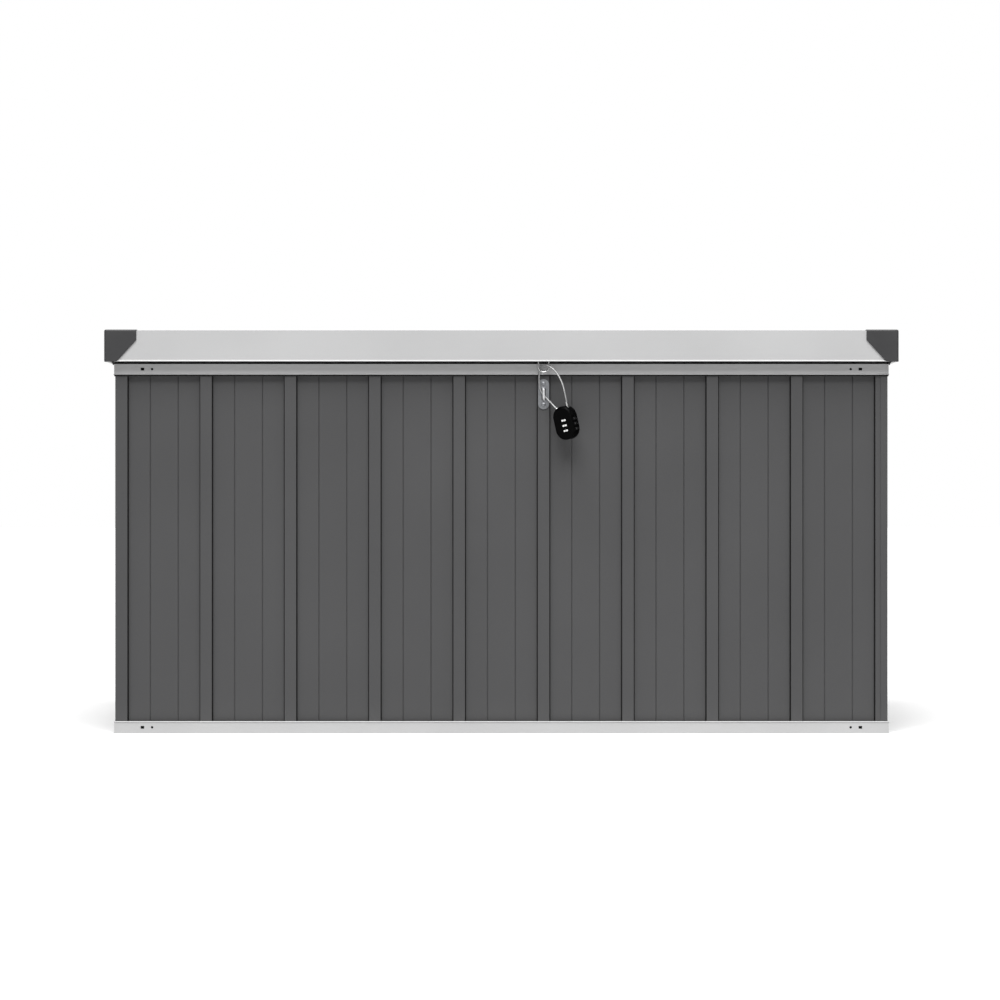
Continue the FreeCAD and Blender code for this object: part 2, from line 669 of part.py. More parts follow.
def seals():
    """A rubber lip on the top rails under the lid, and another where the walls enter the top rails."""
    lips = (
        ("lid_seal", 0.3, RAIL_TOP, f"{RAIL_TOP} + lid_gap - 0.3"),
        ("wall_seal", 0.2, f"{TOP_RAIL_FOOT} - 1.7", f"{TOP_RAIL_FOOT} - 0.05"),
    )
    for label, near, low, high in lips:
        out_x, out_y = f"({RAIL_X} - {near})", f"({RAIL_Y} - {near})"
        in_x, in_y = f"({out_x} - seal_thick)", f"({out_y} - seal_thick)"
        hole = block((f"-{in_x}", in_x), (f"-{in_y}", in_y), (f"{low} - 1", f"{high} + 1"))
        keep(label, cut(block((f"-{out_x}", out_x), (f"-{out_y}", out_y), (low, high)), hole))


def hinge_base_leaf(middle):
    """The leaf on the rear rail, with the two outer knuckles and a bore for the pin."""
    faces = (RAIL_Y, f"({RAIL_Y} + leaf_steel)")
    near, far = "(hinge_width / 6 + hinge_clearance / 2)", "hinge_width / 2"
    pieces = []
    for ends in ((f"{middle} - {far}", f"{middle} - {near}"), (f"{middle} + {near}", f"{middle} + {far}")):
        pieces.append(round_bar("x", "knuckle_radius", *ends, y=HINGE_Y, z=HINGE_Z))
        pieces.append(block(ends, faces, (f"{HINGE_Z} - leaf_drop + 1", HINGE_Z)))
    pieces.append(block((f"{middle} - {far}", f"{middle} + {far}"), faces,
                        (f"{HINGE_Z} - leaf_drop", f"{HINGE_Z} - leaf_drop + leaf_band")))
    bore = round_bar("x", "hinge_pin_radius", f"{middle} - hinge_width", f"{middle} + hinge_width",
                     y=HINGE_Y, z=HINGE_Z)
    return cut(join(*pieces), bore)


def hinge_lid_leaf(middle):
    """The leaf under the lid, with the middle knuckle, which turns on the pin."""
    half = "(hinge_width / 6 - hinge_clearance / 2)"
    tongue = (f"{middle} - {half}", f"{middle} + {half}")
    across = (f"{middle} - hinge_width / 2", f"{middle} + hinge_width / 2")
    faces = (f"{LID_BOTTOM} - leaf_steel", LID_BOTTOM)
    edge = f"{HINGE_Y} + leaf_reach"
    leaf = join(
        round_bar("x", "knuckle_radius", *tongue, y=HINGE_Y, z=HINGE_Z),
        block(tongue, (HINGE_Y, edge), faces),
        block(across, (f"{HINGE_Y} + knuckle_radius + 0.8", edge), faces),
    )
    running = round_bar("x", "hinge_pin_radius + running_gap", f"{middle} - hinge_width",
                        f"{middle} + hinge_width", y=HINGE_Y, z=HINGE_Z)
    return cut(leaf, running)


def hinge_pin(middle):
    """The pin, with a head on its right."""
    start, end = f"{middle} - hinge_width / 2 - 0.5", f"{middle} + hinge_width / 2"
    return join(
        round_bar("x", "hinge_pin_radius", start, f"{end} + 1", y=HINGE_Y, z=HINGE_Z),
        round_bar("x", "knuckle_radius - 1", end, f"{end} + 1.5", y=HINGE_Y, z=HINGE_Z),
    )


def hinges():
    """Butt hinges behind the rear rail: two knuckles on the box, one on the lid, and a pin with a head."""
    base_screws, lid_screws = [], []
    outside, below = f"{RAIL_Y} + leaf_steel", f"{LID_BOTTOM} - leaf_steel"
    for side, sign in SIDES:
        middle = f"({sign} * hinge_offset)"
        keep(f"hinge_leaf_base_{side}", hinge_base_leaf(middle))
        keep(f"hinge_leaf_lid_{side}", hinge_lid_leaf(middle))
        keep(f"hinge_pin_{side}", hinge_pin(middle))
        for place in (-1, 1):
            at = {"x": f"{middle} + {place} * hinge_hole", "z": f"{HINGE_Z} - leaf_drop + leaf_band / 2"}
            base_screws.append(join(
                round_bar("y", "screw_shank", f"{RAIL_Y} - rail_steel", outside, **at),
                round_bar("y", "screw_head", outside, f"{outside} + head_height - 0.2", **at),
            ))
            at = {"x": f"{middle} + {place} * hinge_hole", "y": f"{HINGE_Y} + leaf_reach - 1.9"}
            lid_screws.append(join(
                round_bar("z", "1.5", below, f"{LID_BOTTOM} + rim_steel", **at),
                round_bar("z", "1.8", f"{below} - 1.2", below, **at),
            ))
    keep("hinge_screws_base", group(*base_screws))
    keep("hinge_screws_lid", group(*lid_screws))


def outwards(sign, near, far):
    """From one distance off the middle of the box to another, to its right or to its left."""
    return (f"{near}", f"{far}") if sign > 0 else (f"-({far})", f"-({near})")


def strut_brackets():
    """A plate with a stud on each side wall, and an angle with a stud under the lid."""
    stud_end = "(strut_offset - eye_half - 2)"
    beside_eye = "strut_offset + eye_half + 0.5"
    clip_ends = (f"{stud_end} - 1.5", stud_end)
    for side, sign in SIDES:
        at = {"y": LOWER_Y, "z": LOWER_Z}
        wall_face = f"{WALL_X} - 0.1"
        plate = block(outwards(sign, f"{wall_face} - bracket_steel", wall_face),
                      (f"{LOWER_Y} - plate_half_depth", f"{LOWER_Y} + plate_half_depth"),
                      (f"{LOWER_Z} - plate_half_height", f"{LOWER_Z} + plate_half_height"))
        stud = round_bar("x", "stud_radius", *outwards(sign, stud_end, f"{WALL_X} - 1"), **at)
        boss = round_bar("x", "stud_radius + 3", *outwards(sign, beside_eye, f"{WALL_X} - 1"), **at)
        clip = round_bar("x", "stud_radius + 2", *outwards(sign, *clip_ends), **at)
        keep(f"strut_bracket_base_{side}", join(plate, stud, boss, clip))

        at = {"y": UPPER_Y, "z": UPPER_Z}
        ceiling = f"({LID_CEILING} - 0.1)"
        depth = (f"{UPPER_Y} - angle_half_depth", f"{UPPER_Y} + angle_half_depth")
        web_near, web_far = "strut_offset + web_side", "strut_offset + web_side + angle_steel"
        web = block(outwards(sign, web_near, web_far), depth, (f"{UPPER_Z} - stud_radius - 3", ceiling))
        flange = block(outwards(sign, "strut_offset - angle_half_depth", web_far), depth,
                       (f"{ceiling} - bracket_steel", ceiling))
        stud = round_bar("x", "stud_radius", *outwards(sign, stud_end, f"{web_far} - 1"), **at)
        clip = round_bar("x", "stud_radius + 2", *outwards(sign, *clip_ends), **at)
        boss = round_bar("x", "stud_radius + 2.5", *outwards(sign, beside_eye, f"{web_far} - 1"), **at)
        keep(f"strut_bracket_lid_{side}", join(web, flange, stud, clip, boss))


def struts():
    """Gas struts. Each tube and rod share one axis, which leans forward from the lower stud."""
    lean = Rotation(X_AXIS, number(STRUT_TILT))
    for side, sign in SIDES:
        eye = round_bar("x", "eye_radius", "-eye_half", "eye_half")
        neck = round_bar("z", "rod_radius + 0.3", "0", "20")
        tube = round_bar("z", "tube_radius", "16", "tube_length")
        bore = round_bar("z", "tube_bore", "30", "tube_length - 6")
        guide = round_bar("z", "rod_radius + 0.3", "tube_length - 7", "tube_length + 1")
        hole = round_bar("x", "stud_radius + running_gap", "-20", "20")
        cylinder = cut(join(eye, neck, tube), bore, guide, hole)
        move(cylinder, f"{sign} * strut_offset", LOWER_Y, LOWER_Z, lean)
        keep(f"strut_cylinder_{side}", cylinder)

        eye = round_bar("x", "eye_radius", "-eye_half", "eye_half")
        shaft = round_bar("z", "rod_radius", "-rod_length", "0")
        piston = round_bar("z", "tube_bore - 0.4", "-rod_length", "-rod_length + piston_length")
        hole = round_bar("x", "stud_radius + running_gap", "-20", "20")
        rod = cut(join(eye, shaft, piston), hole)
        move(rod, f"{sign} * strut_offset", UPPER_Y, UPPER_Z, lean)
        keep(f"strut_rod_{side}", rod)


def hasp():
    """A staple plate on the middle rib with a bowed strap, its two rivets, and the loop under the lid."""
    face = f"-{RIB_Y}"
    front = f"({face} - hasp_steel)"
    straight = "(hasp_length / 2 - hasp_width / 2)"
    depth = (front, face)
    plate = join(
        block((f"{HASP_X} - hasp_width / 2", f"{HASP_X} + hasp_width / 2"), depth,
              (f"hasp_centre - {straight}", f"hasp_centre + {straight}")),
        round_bar("y", "hasp_width / 2", *depth, x=HASP_X, z=f"hasp_centre - {straight}"),
        round_bar("y", "hasp_width / 2", *depth, x=HASP_X, z=f"hasp_centre + {straight}"),
    )
    rivet_z = [f"hasp_centre {sign} rivet_spacing / 2" for sign in "+-"]
    window = block((f"{HASP_X} - window_half", f"{HASP_X} + window_half"), (f"{front} - 1", f"{face} + 1"),
                   ("hasp_centre - strap_half + 2.5", "hasp_centre + strap_half - 2.5"))
    through = (f"{front} - 1", f"{face} + 1")
    holes = [round_bar("y", "rivet_shank", *through, x=HASP_X, z=height) for height in rivet_z]
    strap = new_body("strap")
    sketch = new_sketch(strap, "YZ_Plane")
    deep = f"({front} - strap_space)"
    outline(sketch, [
        (face, "strap_half"),
        (front, "strap_half"),
        (f"{deep} - strap_steel", "strap_half - strap_slope"),
        (f"{deep} - strap_steel", "-strap_half + strap_slope"),
        (front, "-strap_half"),
        (face, "-strap_half"),
        (face, "-strap_half + 2.2"),
        (deep, "-strap_half + strap_slope + 0.8"),
        (deep, "strap_half - strap_slope - 0.8"),
        (face, "strap_half - 2.2"),
    ])
    pad(strap, sketch, "strap_width", middle=True)
    move(strap, HASP_X, "0", "hasp_centre")
    keep("hasp_plate", join(cut(plate, window, *holes), strap))

    rivets = []
    for height in rivet_z:
        dome = doc.addObject("Part::Sphere", "Dome")
        bind(dome, "Radius", "rivet_radius * 1.5")
        move(dome, HASP_X, f"{front} + rivet_radius * 1.5 - 1.7", height)
        keep_in = round_bar("y", "rivet_radius", f"{front} - 3", front, x=HASP_X, z=height)
        head = doc.addObject("Part::MultiCommon", "Head")
        head.Shapes = [dome, keep_in]
        behind = f"{face} + wall_steel"
        shank = round_bar("y", "rivet_shank", f"{front} - 0.1", f"{behind} + 0.8", x=HASP_X, z=height)
        tail = round_bar("y", "rivet_tail", behind, f"{behind} + 1.2", x=HASP_X, z=height)
        rivets.append(join(head, shank, tail))
    keep("hasp_rivets", group(*rivets))


def lid_loop():
    """A U-shaped loop of round wire under the lid's front edge, held by two nuts inside the rim."""
    radius, wire = number("loop_bend"), number("loop_wire")
    bottom = number("loop_bottom + loop_wire + loop_bend")
    middle, y, top = number(HASP_X), -number("loop_front"), number(f"{LID_BOTTOM} + loop_inside")
    left, right = Vector(middle - radius, y, bottom), Vector(middle + radius, y, bottom)
    path = Part.Wire([
        Part.LineSegment(left + Vector(0, 0, top - bottom), left).toShape(),
        Part.Arc(left, Vector(middle, y, bottom - radius), right).toShape(),
        Part.LineSegment(right, right + Vector(0, 0, top - bottom)).toShape(),
    ])
    circle = Part.Wire([Part.makeCircle(wire, left + Vector(0, 0, top - bottom), Z_AXIS)])
    loop = doc.addObject("Part::Feature", "Loop")
    loop.Shape = path.makePipeShell([circle], True, True)
    keep("hasp_loop", loop)

    nuts = []
    for sign in (-1, 1):
        nut = doc.addObject("Part::Prism", "Nut")
        nut.Polygon = 6
        bind(nut, "Circumradius", "nut_radius")
        bind(nut, "Height", "nut_height")
        move(nut, f"{HASP_X} + {sign} * loop_bend", "-loop_front", f"{LID_BOTTOM} + rim_steel")
        hole = round_bar("z", "loop_wire", LID_BOTTOM, f"{LID_BOTTOM} + 9",
                         x=f"{HASP_X} + {sign} * loop_bend", y="-loop_front")
        nuts.append(cut(nut, hole))
    keep("loop_nuts", group(*nuts))


# The lock is made upright about its own middle, then hung as one: turned about its long axis and leaned.
LOCK_MIDDLE = Vector(115.95, -337.5, 556.3)
LOCK_LEAN = -12.5
LOCK_YAW = -32
LOCK_PLACE = Placement(LOCK_MIDDLE, Rotation(Y_AXIS, LOCK_LEAN) * Rotation(Z_AXIS, LOCK_YAW))


def hang(label, thing):
    """A sub-part of the lock, moved from the lock's own frame to where the lock hangs."""
    thing.Placement = LOCK_PLACE
    return keep(label, thing)


def rounded_plate(inset, start, end):
    """Half of the lock's outline, padded along its thickness, smaller by an inset."""
    wide, tall = f"(lock_width / 2 - {inset})", f"(lock_tall / 2 - {inset})"
    corner = f"(lock_round - {inset})"
    pieces = [
        block((f"-{wide}", wide), (start, end), (f"-({tall} - {corner})", f"{tall} - {corner}")),
        block((f"-({wide} - {corner})", f"{wide} - {corner}"), (start, end), (f"-{tall}", tall)),
    ]
    for x_side in "-+":
        for z_side in "-+":
            pieces.append(round_bar("y", corner, start, end, x=f"0 {x_side} ({wide} - {corner})",
                                    z=f"0 {z_side} ({tall} - {corner})"))
    return join(*pieces)


def shoulder_bar(radius, start, end):
    """A cylinder square to the lock's left shoulder, from start to end off the centre of that corner."""
    bar = round_bar("z", radius, "0", f"({end}) - ({start})")
    lean = "shoulder_lean * 1deg"
    move(bar, x=f"-(lock_width / 2 - lock_round) - ({start}) * sin({lean})",
         z=f"(lock_tall / 2 - lock_round) + ({start}) * cos({lean})",
         turn=Rotation(Y_AXIS, -number("shoulder_lean")))
    return bar


def dial_level(place):
    """The height of a dial's middle in the lock: 1 is the top dial, 0 the middle one, -1 the bottom one."""
    return f"({place} * dial_pitch - dial_drop)"


def lock_shell(label, side):
    """One half of the lock's case: hollow, with two walls that carry the axle, slots for the dials,
    windows in the front half, and holes for the cable's ends and the button."""
    solid = rounded_plate("0", *(("0", "lock_half") if side > 0 else ("-lock_half", "0")))
    doc.recompute()
    face, radius = number("lock_half") * side, number("lock_edge")
    rim = edges(solid.Shape, lambda box: abs(box.YMin - face) + abs(box.YMax - face) < 1e-5)
    soft = doc.addObject("Part::Fillet", "Rounded")
    soft.Base = solid
    soft.Edges = [(index, radius, radius) for index in rim]
    depth = "(lock_half - lock_wall + 0.6)"
    hollow = rounded_plate("lock_wall", *(("-0.1", depth) if side > 0 else (f"-{depth}", "0.1")))
    bearings = []
    for middle in (f"{dial_level(1)} + 5", f"{dial_level(-1)} - 5"):
        across = ("dial_side - 5", "dial_side + 5")
        through = ("0", f"{depth} + 0.1") if side > 0 else (f"-{depth} - 0.1", "0")
        bearings.append(block(across, through, (f"{middle} - 1", f"{middle} + 1")))
    axle = round_bar("z", "axle_radius", "-lock_tall / 2 + 4", "lock_tall / 2 - 4", x="dial_side")
    tools = [axle]
    for place in (-1, 0, 1):
        middle, slot = dial_level(place), "(dial_thick / 2 + 0.5)"
        tools.append(block(("lock_width / 2 - dial_slot_wall", "lock_width / 2 + 3"),
                           ("-dial_slot_half", "dial_slot_half"),
                           (f"{middle} - {slot}", f"{middle} + {slot}")))
        if side < 0:
            tools.append(block(("window_side - window_width / 2", "window_side + window_width / 2"),
                               ("-lock_half - 1", "-lock_half + 4"),
                               (f"{middle} - window_tall / 2", f"{middle} + window_tall / 2")))
    tools.append(round_bar("z", "collar_radius + 0.3", "lock_tall / 2 - 7", "lock_tall / 2 + 5",
                           x="plug_side"))
    tools.append(shoulder_bar("collar_radius", "lock_round - 6", "lock_round + 5"))
    tools.append(round_bar("x", "button_radius + 0.3", "-lock_width / 2 - 3", "-lock_width / 2 + 5"))
    hang(label, cut(join(cut(soft, hollow), *bearings), *tools))


def lock_dials():
    """Three dials on one axle along the lock's height. Grooves round each rim give the fingers a grip."""
    ends = (f"{dial_level(-1)} - 6.5", f"{dial_level(1)} + 6.5")
    hang("dial_axle", group(round_bar("z", "axle_radius", *ends, x="dial_side")))
    for name, place in (("top", 1), ("middle", 0), ("bottom", -1)):
        middle = dial_level(place)
        low, high = f"{middle} - dial_thick / 2", f"{middle} + dial_thick / 2"
        wheel = round_bar("z", "dial_radius", low, high, x="dial_side")
        tools = [round_bar("z", "axle_radius + running_gap", f"{low} - 1", f"{high} + 1", x="dial_side")]
        for index in range(int(number("grip_count"))):
            turn = f"(({index} + 0.5) * 360deg / grip_count)"
            tools.append(round_bar("z", "grip_radius", f"{low} - 1", f"{high} + 1",
                                   x=f"dial_side + (dial_radius + 0.4) * cos({turn})",
                                   y=f"(dial_radius + 0.4) * sin({turn})"))
        hang(f"dial_{name}", cut(wheel, *tools))


def lock_windows():
    """White number plates, one in each window."""
    plates = []
    for place in (-1, 0, 1):
        middle = dial_level(place)
        plates.append(block(("window_side - window_width / 2", "window_side + window_width / 2"),
                            ("-lock_half + 0.3", "-lock_half + 1.3"),
                            (f"{middle} - window_tall / 2", f"{middle} + window_tall / 2")))
    hang("number_windows", group(*plates))


def lock_fittings():
    """The release button, the cable's fixed ferrule and its removable plug."""
    left, top = "-lock_width / 2", "lock_tall / 2"
    hang("release_button", join(
        round_bar("x", "button_radius", f"{left} - button_proud", f"{left} + 4"),
        round_bar("x", "button_radius + 1.2", f"{left} + 2.6", f"{left} + 4"),
    ))
    hang("fixed_ferrule", group(shoulder_bar("collar_radius", "lock_round - 6", "lock_round + 2.5")))
    hang("cable_plug", join(
        round_bar("z", "plug_radius", f"{top} - 13", f"{top} - 4", x="plug_side"),
        round_bar("z", "collar_radius", f"{top} - 5", f"{top} + 6", x="plug_side"),
    ))


# The cable runs from the plug up and through the lid loop, down behind the strap and back to the ferrule.
CABLE_ROUTE = [
    (116.5, -342.8, 593.3),
    (114.5, -342.8, 602.1),
    (112.2, -340.4, 614.5),
    (108.2, -336.4, 628.3),
    (101.8, -332.0, 641.6),
    (93.2, -328.6, 652.3),
    (83.7, -326.0, 658.7),
    (74.8, -321.8, 659.2),
    (68.8, -318.4, 652.2),
    (67.2, -317.4, 640.6),
    (67.7, -316.4, 627.4),
    (69.2, -316.1, 616.3),
    (74.2, -316.1, 607.7),
    (80.8, -316.7, 600.7),
    (87.0, -321.0, 593.9),
    (92.5, -326.6, 587.6),
    (98.6, -330.2, 581.0),
]


def cable():
    """The steel cable: straight runs joined by tangent arcs, as large as their runs allow."""
    radius = number("cable_radius")
    points = [Vector(*point) for point in CABLE_ROUTE]
    pieces, start, radii, long = [], points[0], [], 0
    for before, here, after in zip(points, points[1:], points[2:]):
        run_in, run_out = here - before, after - here
        half_turn = run_in.getAngle(run_out) / 2
        reach = 0.45 * min(run_in.Length, run_out.Length)
        radii.append(reach / math.tan(half_turn))
        first = here - Vector(run_in).normalize() * reach
        last = here + Vector(run_out).normalize() * reach
        inward = (first + last) * 0.5 - here
        centre = here + inward.normalize() * math.hypot(radii[-1], reach)
        middle = centre + (here - centre).normalize() * radii[-1]
        pieces += [Part.LineSegment(start, first).toShape(), Part.Arc(first, middle, last).toShape()]
        start = last
    pieces.append(Part.LineSegment(start, points[-1]).toShape())
    path = Part.Wire(pieces)
    ring_wire = Part.Wire([Part.makeCircle(radius, points[0], points[1] - points[0])])
    tube = doc.addObject("Part::Feature", "Cable")
    tube.Shape = path.makePipeShell([ring_wire], True, True)
    keep("lock_cable", tube)
    print("cable radii", [round(size, 1) for size in radii], "length", round(path.Length, 1))
    share = tube.Shape.Volume / (math.pi * radius ** 2 * path.Length)
    print("cable volume against section times length", round(share, 4))


rails()
walls()
corner_brackets()
floor()
lid_rims()
lid_panel()
lid_stiffeners()
corner_caps()
lid_bumpers()
seals()
hinges()
strut_brackets()
struts()
hasp()
lid_loop()
lock_shell("lock_front_shell", -1)
lock_shell("lock_rear_shell", 1)
lock_dials()
lock_windows()
lock_fittings()
cable()
doc.recompute()

for thing in doc.Objects:
    if {"Invalid", "Error"} & set(thing.State):
        raise ValueError(f"{thing.Label} failed: {thing.State}")
os.makedirs("parts", exist_ok=True)
for thing in kept:
    shape = thing.Shape
    if shape.isNull() or not shape.isValid() or not shape.Solids:
        raise ValueError(f"{thing.Label} has no valid solid")
for thing in kept:
    thing.Shape.exportStep(f"parts/{thing.Label}.step")
print(len(kept), "sub-parts written")
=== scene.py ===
"""Finishes, small parts and studio for a steel deck storage box.

The box has a lift-up lid and a hanging combination cable lock.
"""

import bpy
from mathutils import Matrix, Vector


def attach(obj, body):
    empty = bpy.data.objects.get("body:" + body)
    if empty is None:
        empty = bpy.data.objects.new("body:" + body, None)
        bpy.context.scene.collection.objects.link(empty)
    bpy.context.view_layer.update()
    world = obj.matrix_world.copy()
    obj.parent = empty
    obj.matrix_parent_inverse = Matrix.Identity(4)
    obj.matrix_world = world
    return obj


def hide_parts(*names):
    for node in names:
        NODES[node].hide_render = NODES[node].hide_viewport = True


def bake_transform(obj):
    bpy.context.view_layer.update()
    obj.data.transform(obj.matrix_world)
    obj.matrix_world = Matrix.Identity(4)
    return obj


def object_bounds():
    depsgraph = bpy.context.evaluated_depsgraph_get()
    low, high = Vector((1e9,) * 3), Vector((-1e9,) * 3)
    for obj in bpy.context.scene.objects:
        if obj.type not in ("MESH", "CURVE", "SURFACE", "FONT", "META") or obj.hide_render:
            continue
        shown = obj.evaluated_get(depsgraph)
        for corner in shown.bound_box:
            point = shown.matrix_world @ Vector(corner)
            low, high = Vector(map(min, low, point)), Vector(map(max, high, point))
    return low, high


bl_info = {
    "name": "Deck storage box",
    "version": (1, 0, 0),
    "blender": (4, 5, 0),
    "location": "View3D > Sidebar > Deck box",
    "description": "Finishes, cable, dial numbers and studio for a steel deck storage box",
    "category": "Object",
}

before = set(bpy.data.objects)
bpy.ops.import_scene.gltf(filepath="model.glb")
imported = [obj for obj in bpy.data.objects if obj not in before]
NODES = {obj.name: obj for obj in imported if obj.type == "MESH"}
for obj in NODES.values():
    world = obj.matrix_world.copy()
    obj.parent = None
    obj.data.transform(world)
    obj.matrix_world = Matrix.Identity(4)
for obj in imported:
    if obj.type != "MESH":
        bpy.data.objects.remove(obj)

import math

import bmesh
import bpy
from bpy.props import FloatProperty, FloatVectorProperty, IntProperty, PointerProperty
from mathutils import Matrix, Vector

CAD_BOX = [list(corner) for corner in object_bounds()]

# The cable's control points in metres, from the plug round the lid's loop, behind the hasp's strap
# and down to the lock's fixed ferrule.
CABLE_ROUTE = (
    (0.1165, -0.3428, 0.5933),
    (0.1145, -0.3428, 0.6021),
    (0.1122, -0.3404, 0.6145),
    (0.1082, -0.3364, 0.6283),
    (0.1018, -0.3320, 0.6416),
    (0.0932, -0.3286, 0.6523),
    (0.0837, -0.3260, 0.6587),
    (0.0748, -0.3218, 0.6592),
    (0.0688, -0.3184, 0.6522),
    (0.0672, -0.3174, 0.6406),
    (0.0677, -0.3164, 0.6274),
    (0.0692, -0.3161, 0.6163),
    (0.0742, -0.3161, 0.6077),
    (0.0808, -0.3167, 0.6007),
    (0.0870, -0.3210, 0.5939),
    (0.0925, -0.3266, 0.5876),
    (0.0986, -0.3302, 0.5810),
)
DIGITS = 10
DIGIT_SHARE = 0.7  # height of a digit as a share of the font's size
WINDOW_NUMBERS = ("25", "47", "08")
DUST = (0.36, 0.35, 0.33)
GROUND_DUST = 1.3  # dust near the ground against dust on top
COAT_SPREAD = (0.06, 0.08)  # how much shinier and duller a coat gets in patches
NOISE_SPAN = (0.3, 0.7)  # where most of a noise pattern's values lie
FACING = 0.9  # least part of a normal along an axis, for a face that looks that way
DOWNWARDS = -0.7  # upright part of a normal, for a face that looks down


def colour(name, description, default):
    """A colour that a user may change."""
    return FloatVectorProperty(
        name=name, description=description, default=default, subtype="COLOR", size=3, min=0, max=1
    )


def share(name, description, default, most=1.0):
    """A number from nothing to most."""
    return FloatProperty(name=name, description=description, default=default, min=0, max=most)


def distance(name, description, default):
    """A length in metres."""
    return FloatProperty(name=name, description=description, default=default, unit="LENGTH", precision=4)


def lengths(name, description, default):
    """Several lengths in metres, such as a place."""
    return FloatVectorProperty(
        name=name, description=description, default=default, size=len(default), unit="LENGTH", precision=4
    )


def angle(name, description, degrees):
    """An angle, given in degrees."""
    return FloatProperty(name=name, description=description, default=math.radians(degrees), unit="ROTATION")


class CoatSettings(bpy.types.PropertyGroup):
    """The powder coat on the walls, rails and lid."""

    silver: colour("Silver", "Coat on the rails and the lid's sides", (0.35, 0.35, 0.352))
    grey: colour("Grey", "Coat on the ribbed walls and the lid's top", (0.0365, 0.0365, 0.0375))
    # Hem: painted highlight on the rolled foot of the lid's sides, which looks brighter where it faces the
    # light.
    hem: colour("Hem", "Rolled foot of the lid's sides, where the coat is brighter", (0.50, 0.50, 0.50))
    # Slopes: painted shade on the steep sides of the ribs, which face away from the light.
    slope: colour("Slopes", "Steep sides of the ribs, where the coat is thin", (0.014, 0.014, 0.014))
    # Corner lap: the rib sides this near a corner get no painted shade.
    corner_lap: distance("Corner lap", "Flange round each corner, which keeps its full coat", 0.012)
    # Height of the band of painted highlight at the foot of the lid's sides.
    hem_height: distance("Hem height", "Height of the rolled foot of the lid's sides", 0.0026)
    # Smear: a band of painted shade along the foot of the top rails, where the gap under the rail's lip is in
    # shadow.
    smear: distance("Smear", "Dark smear of the rubber lip on the foot of the top rails", 0.0011)
    grain: FloatProperty(name="Grain", description="Grains of the coat to the metre", default=900, min=1)
    grain_depth: distance("Grain depth", "How deep the coat's grain is", 0.00005)
    silver_roughness: share("Silver roughness", "How dull the silver coat is", 0.42)
    grey_roughness: share("Grey roughness", "How dull the grey coat is", 0.5)


class TrimSettings(bpy.types.PropertyGroup):
    """Plastic, rubber and bare metal."""

    cap: colour("Corner caps", "Plastic of the lid's corner caps", (0.022, 0.022, 0.023))
    rubber: colour("Rubber", "Lid bumpers and seals", (0.010, 0.010, 0.010))
    zinc: colour("Zinc", "Zinc plate on hinges, brackets and hasp", (0.20, 0.205, 0.215))
    # Strap: painted highlight on the hasp's front faces, where the zinc looks bright.
    strap: colour("Strap", "Hasp's strap, rubbed bright", (0.62, 0.62, 0.63))
    strap_reach: distance("Strap reach", "Depth of the hasp that is rubbed, from its front", 0.003)
    steel: colour("Steel", "Bright wire and cable ends", (0.50, 0.50, 0.50))
    # Edging: a black strip of painted shade along the top of the top rails, in the lid's gap.
    edging_drop: distance("Edging drop", "Rubber edging below the top of the rail", 0.0019)
    edging_proud: distance("Edging proud", "Rubber edging in front of the rail's face", 0.0002)
    seal_inset: distance("Seal inset", "Outside of the lid's seal behind the rail's face", 0.0003)
    hole_places: lengths("Hole places", "Square and round hole, from the rail's end", (0.0507, 0.068))
    # Tape: black patches of painted shade behind the rail holes, which look black because the rail's inside
    # is in shade.
    tape_margins: lengths("Tape margins", "Tape past the square and the round hole", (0.006, 0.005))
    tape_depths: lengths("Tape depths", "Front and back of the tape, behind the rail", (0.00122, 0.0016))
    tape_reach: distance("Tape reach", "Tape above and below the rail's middle", 0.0045)
    # Liner: black for painted shade in the lid's gap, behind the rail holes and under the top rails.
    liner: colour("Liner", "Black edging and tape", (0.004, 0.004, 0.004))
    galvanised: colour("Galvanised", "Floor sheet and its bearers", (0.46, 0.47, 0.49))
    spangle: FloatProperty(name="Spangle", description="Zinc crystals to the metre", default=55, min=1)
    tube: colour("Strut tube", "Paint on the gas struts", (0.010, 0.010, 0.010))


class LockSettings(bpy.types.PropertyGroup):
    """The hanging combination lock."""

    place: lengths("Place", "Middle of the lock", (0.11595, -0.3375, 0.5563))
    lean: angle("Lean", "Tilt in the plane of the box's front", -12.5)
    turn: angle("Turn", "Turn about the lock's height", -32)
    case: colour("Case", "Plastic of the case", (0.0010, 0.0010, 0.0011))
    plate: colour("Number plates", "Plates in the windows", (0.80, 0.80, 0.79))
    ink: colour("Ink", "Numbers on the plates", (0.10, 0.10, 0.10))
    dial_radius: distance("Dial radius", "Radius of a dial", 0.0107)
    dial_side: distance("Dial side", "Dial axis to the right of the lock's middle", 0.0094)
    dial_pitch: distance("Dial pitch", "Distance between dials", 0.0093)
    dial_drop: distance("Dial drop", "Middle dial below the lock's middle", 0.0045)
    dial_ink: colour("Dial numbers", "Numbers on the dials", (0.09, 0.09, 0.09))
    number_height: distance("Number height", "Height of a number on a dial", 0.0030)
    number_gap: distance("Number gap", "Middle of a number's thickness in front of its face", 0.00002)
    number_thickness: distance("Number thickness", "Thickness of a number", 0.00012)
    plate_height: distance("Plate number height", "Height of a number on a window's plate", 0.0022)
    window_side: distance("Window side", "Windows to the right of the lock's middle", 0.0025)
    plate_front: distance("Plate front", "Face of the window's plates in front of the lock's middle", 0.0122)


class CableSettings(bpy.types.PropertyGroup):
    """The lock's coated steel cable."""

    diameter: distance("Diameter", "Over the clear coat", 0.003)
    length: distance("Length", "From the plug to the fixed ferrule", 0.178)
    strands: IntProperty(name="Strands", description="Strands across the cable", default=7, min=1)
    lay: distance("Lay", "Length in which a strand goes once round", 0.018)
    held: lengths("Held", "Where the cable stops following the box", (0.0790, -0.325, 0.6024))
    free: lengths("Free", "Where the cable follows the lock", (0.0979, -0.325, 0.5817))
    wire: colour("Wire", "Steel under the clear coat", (0.30, 0.30, 0.30))


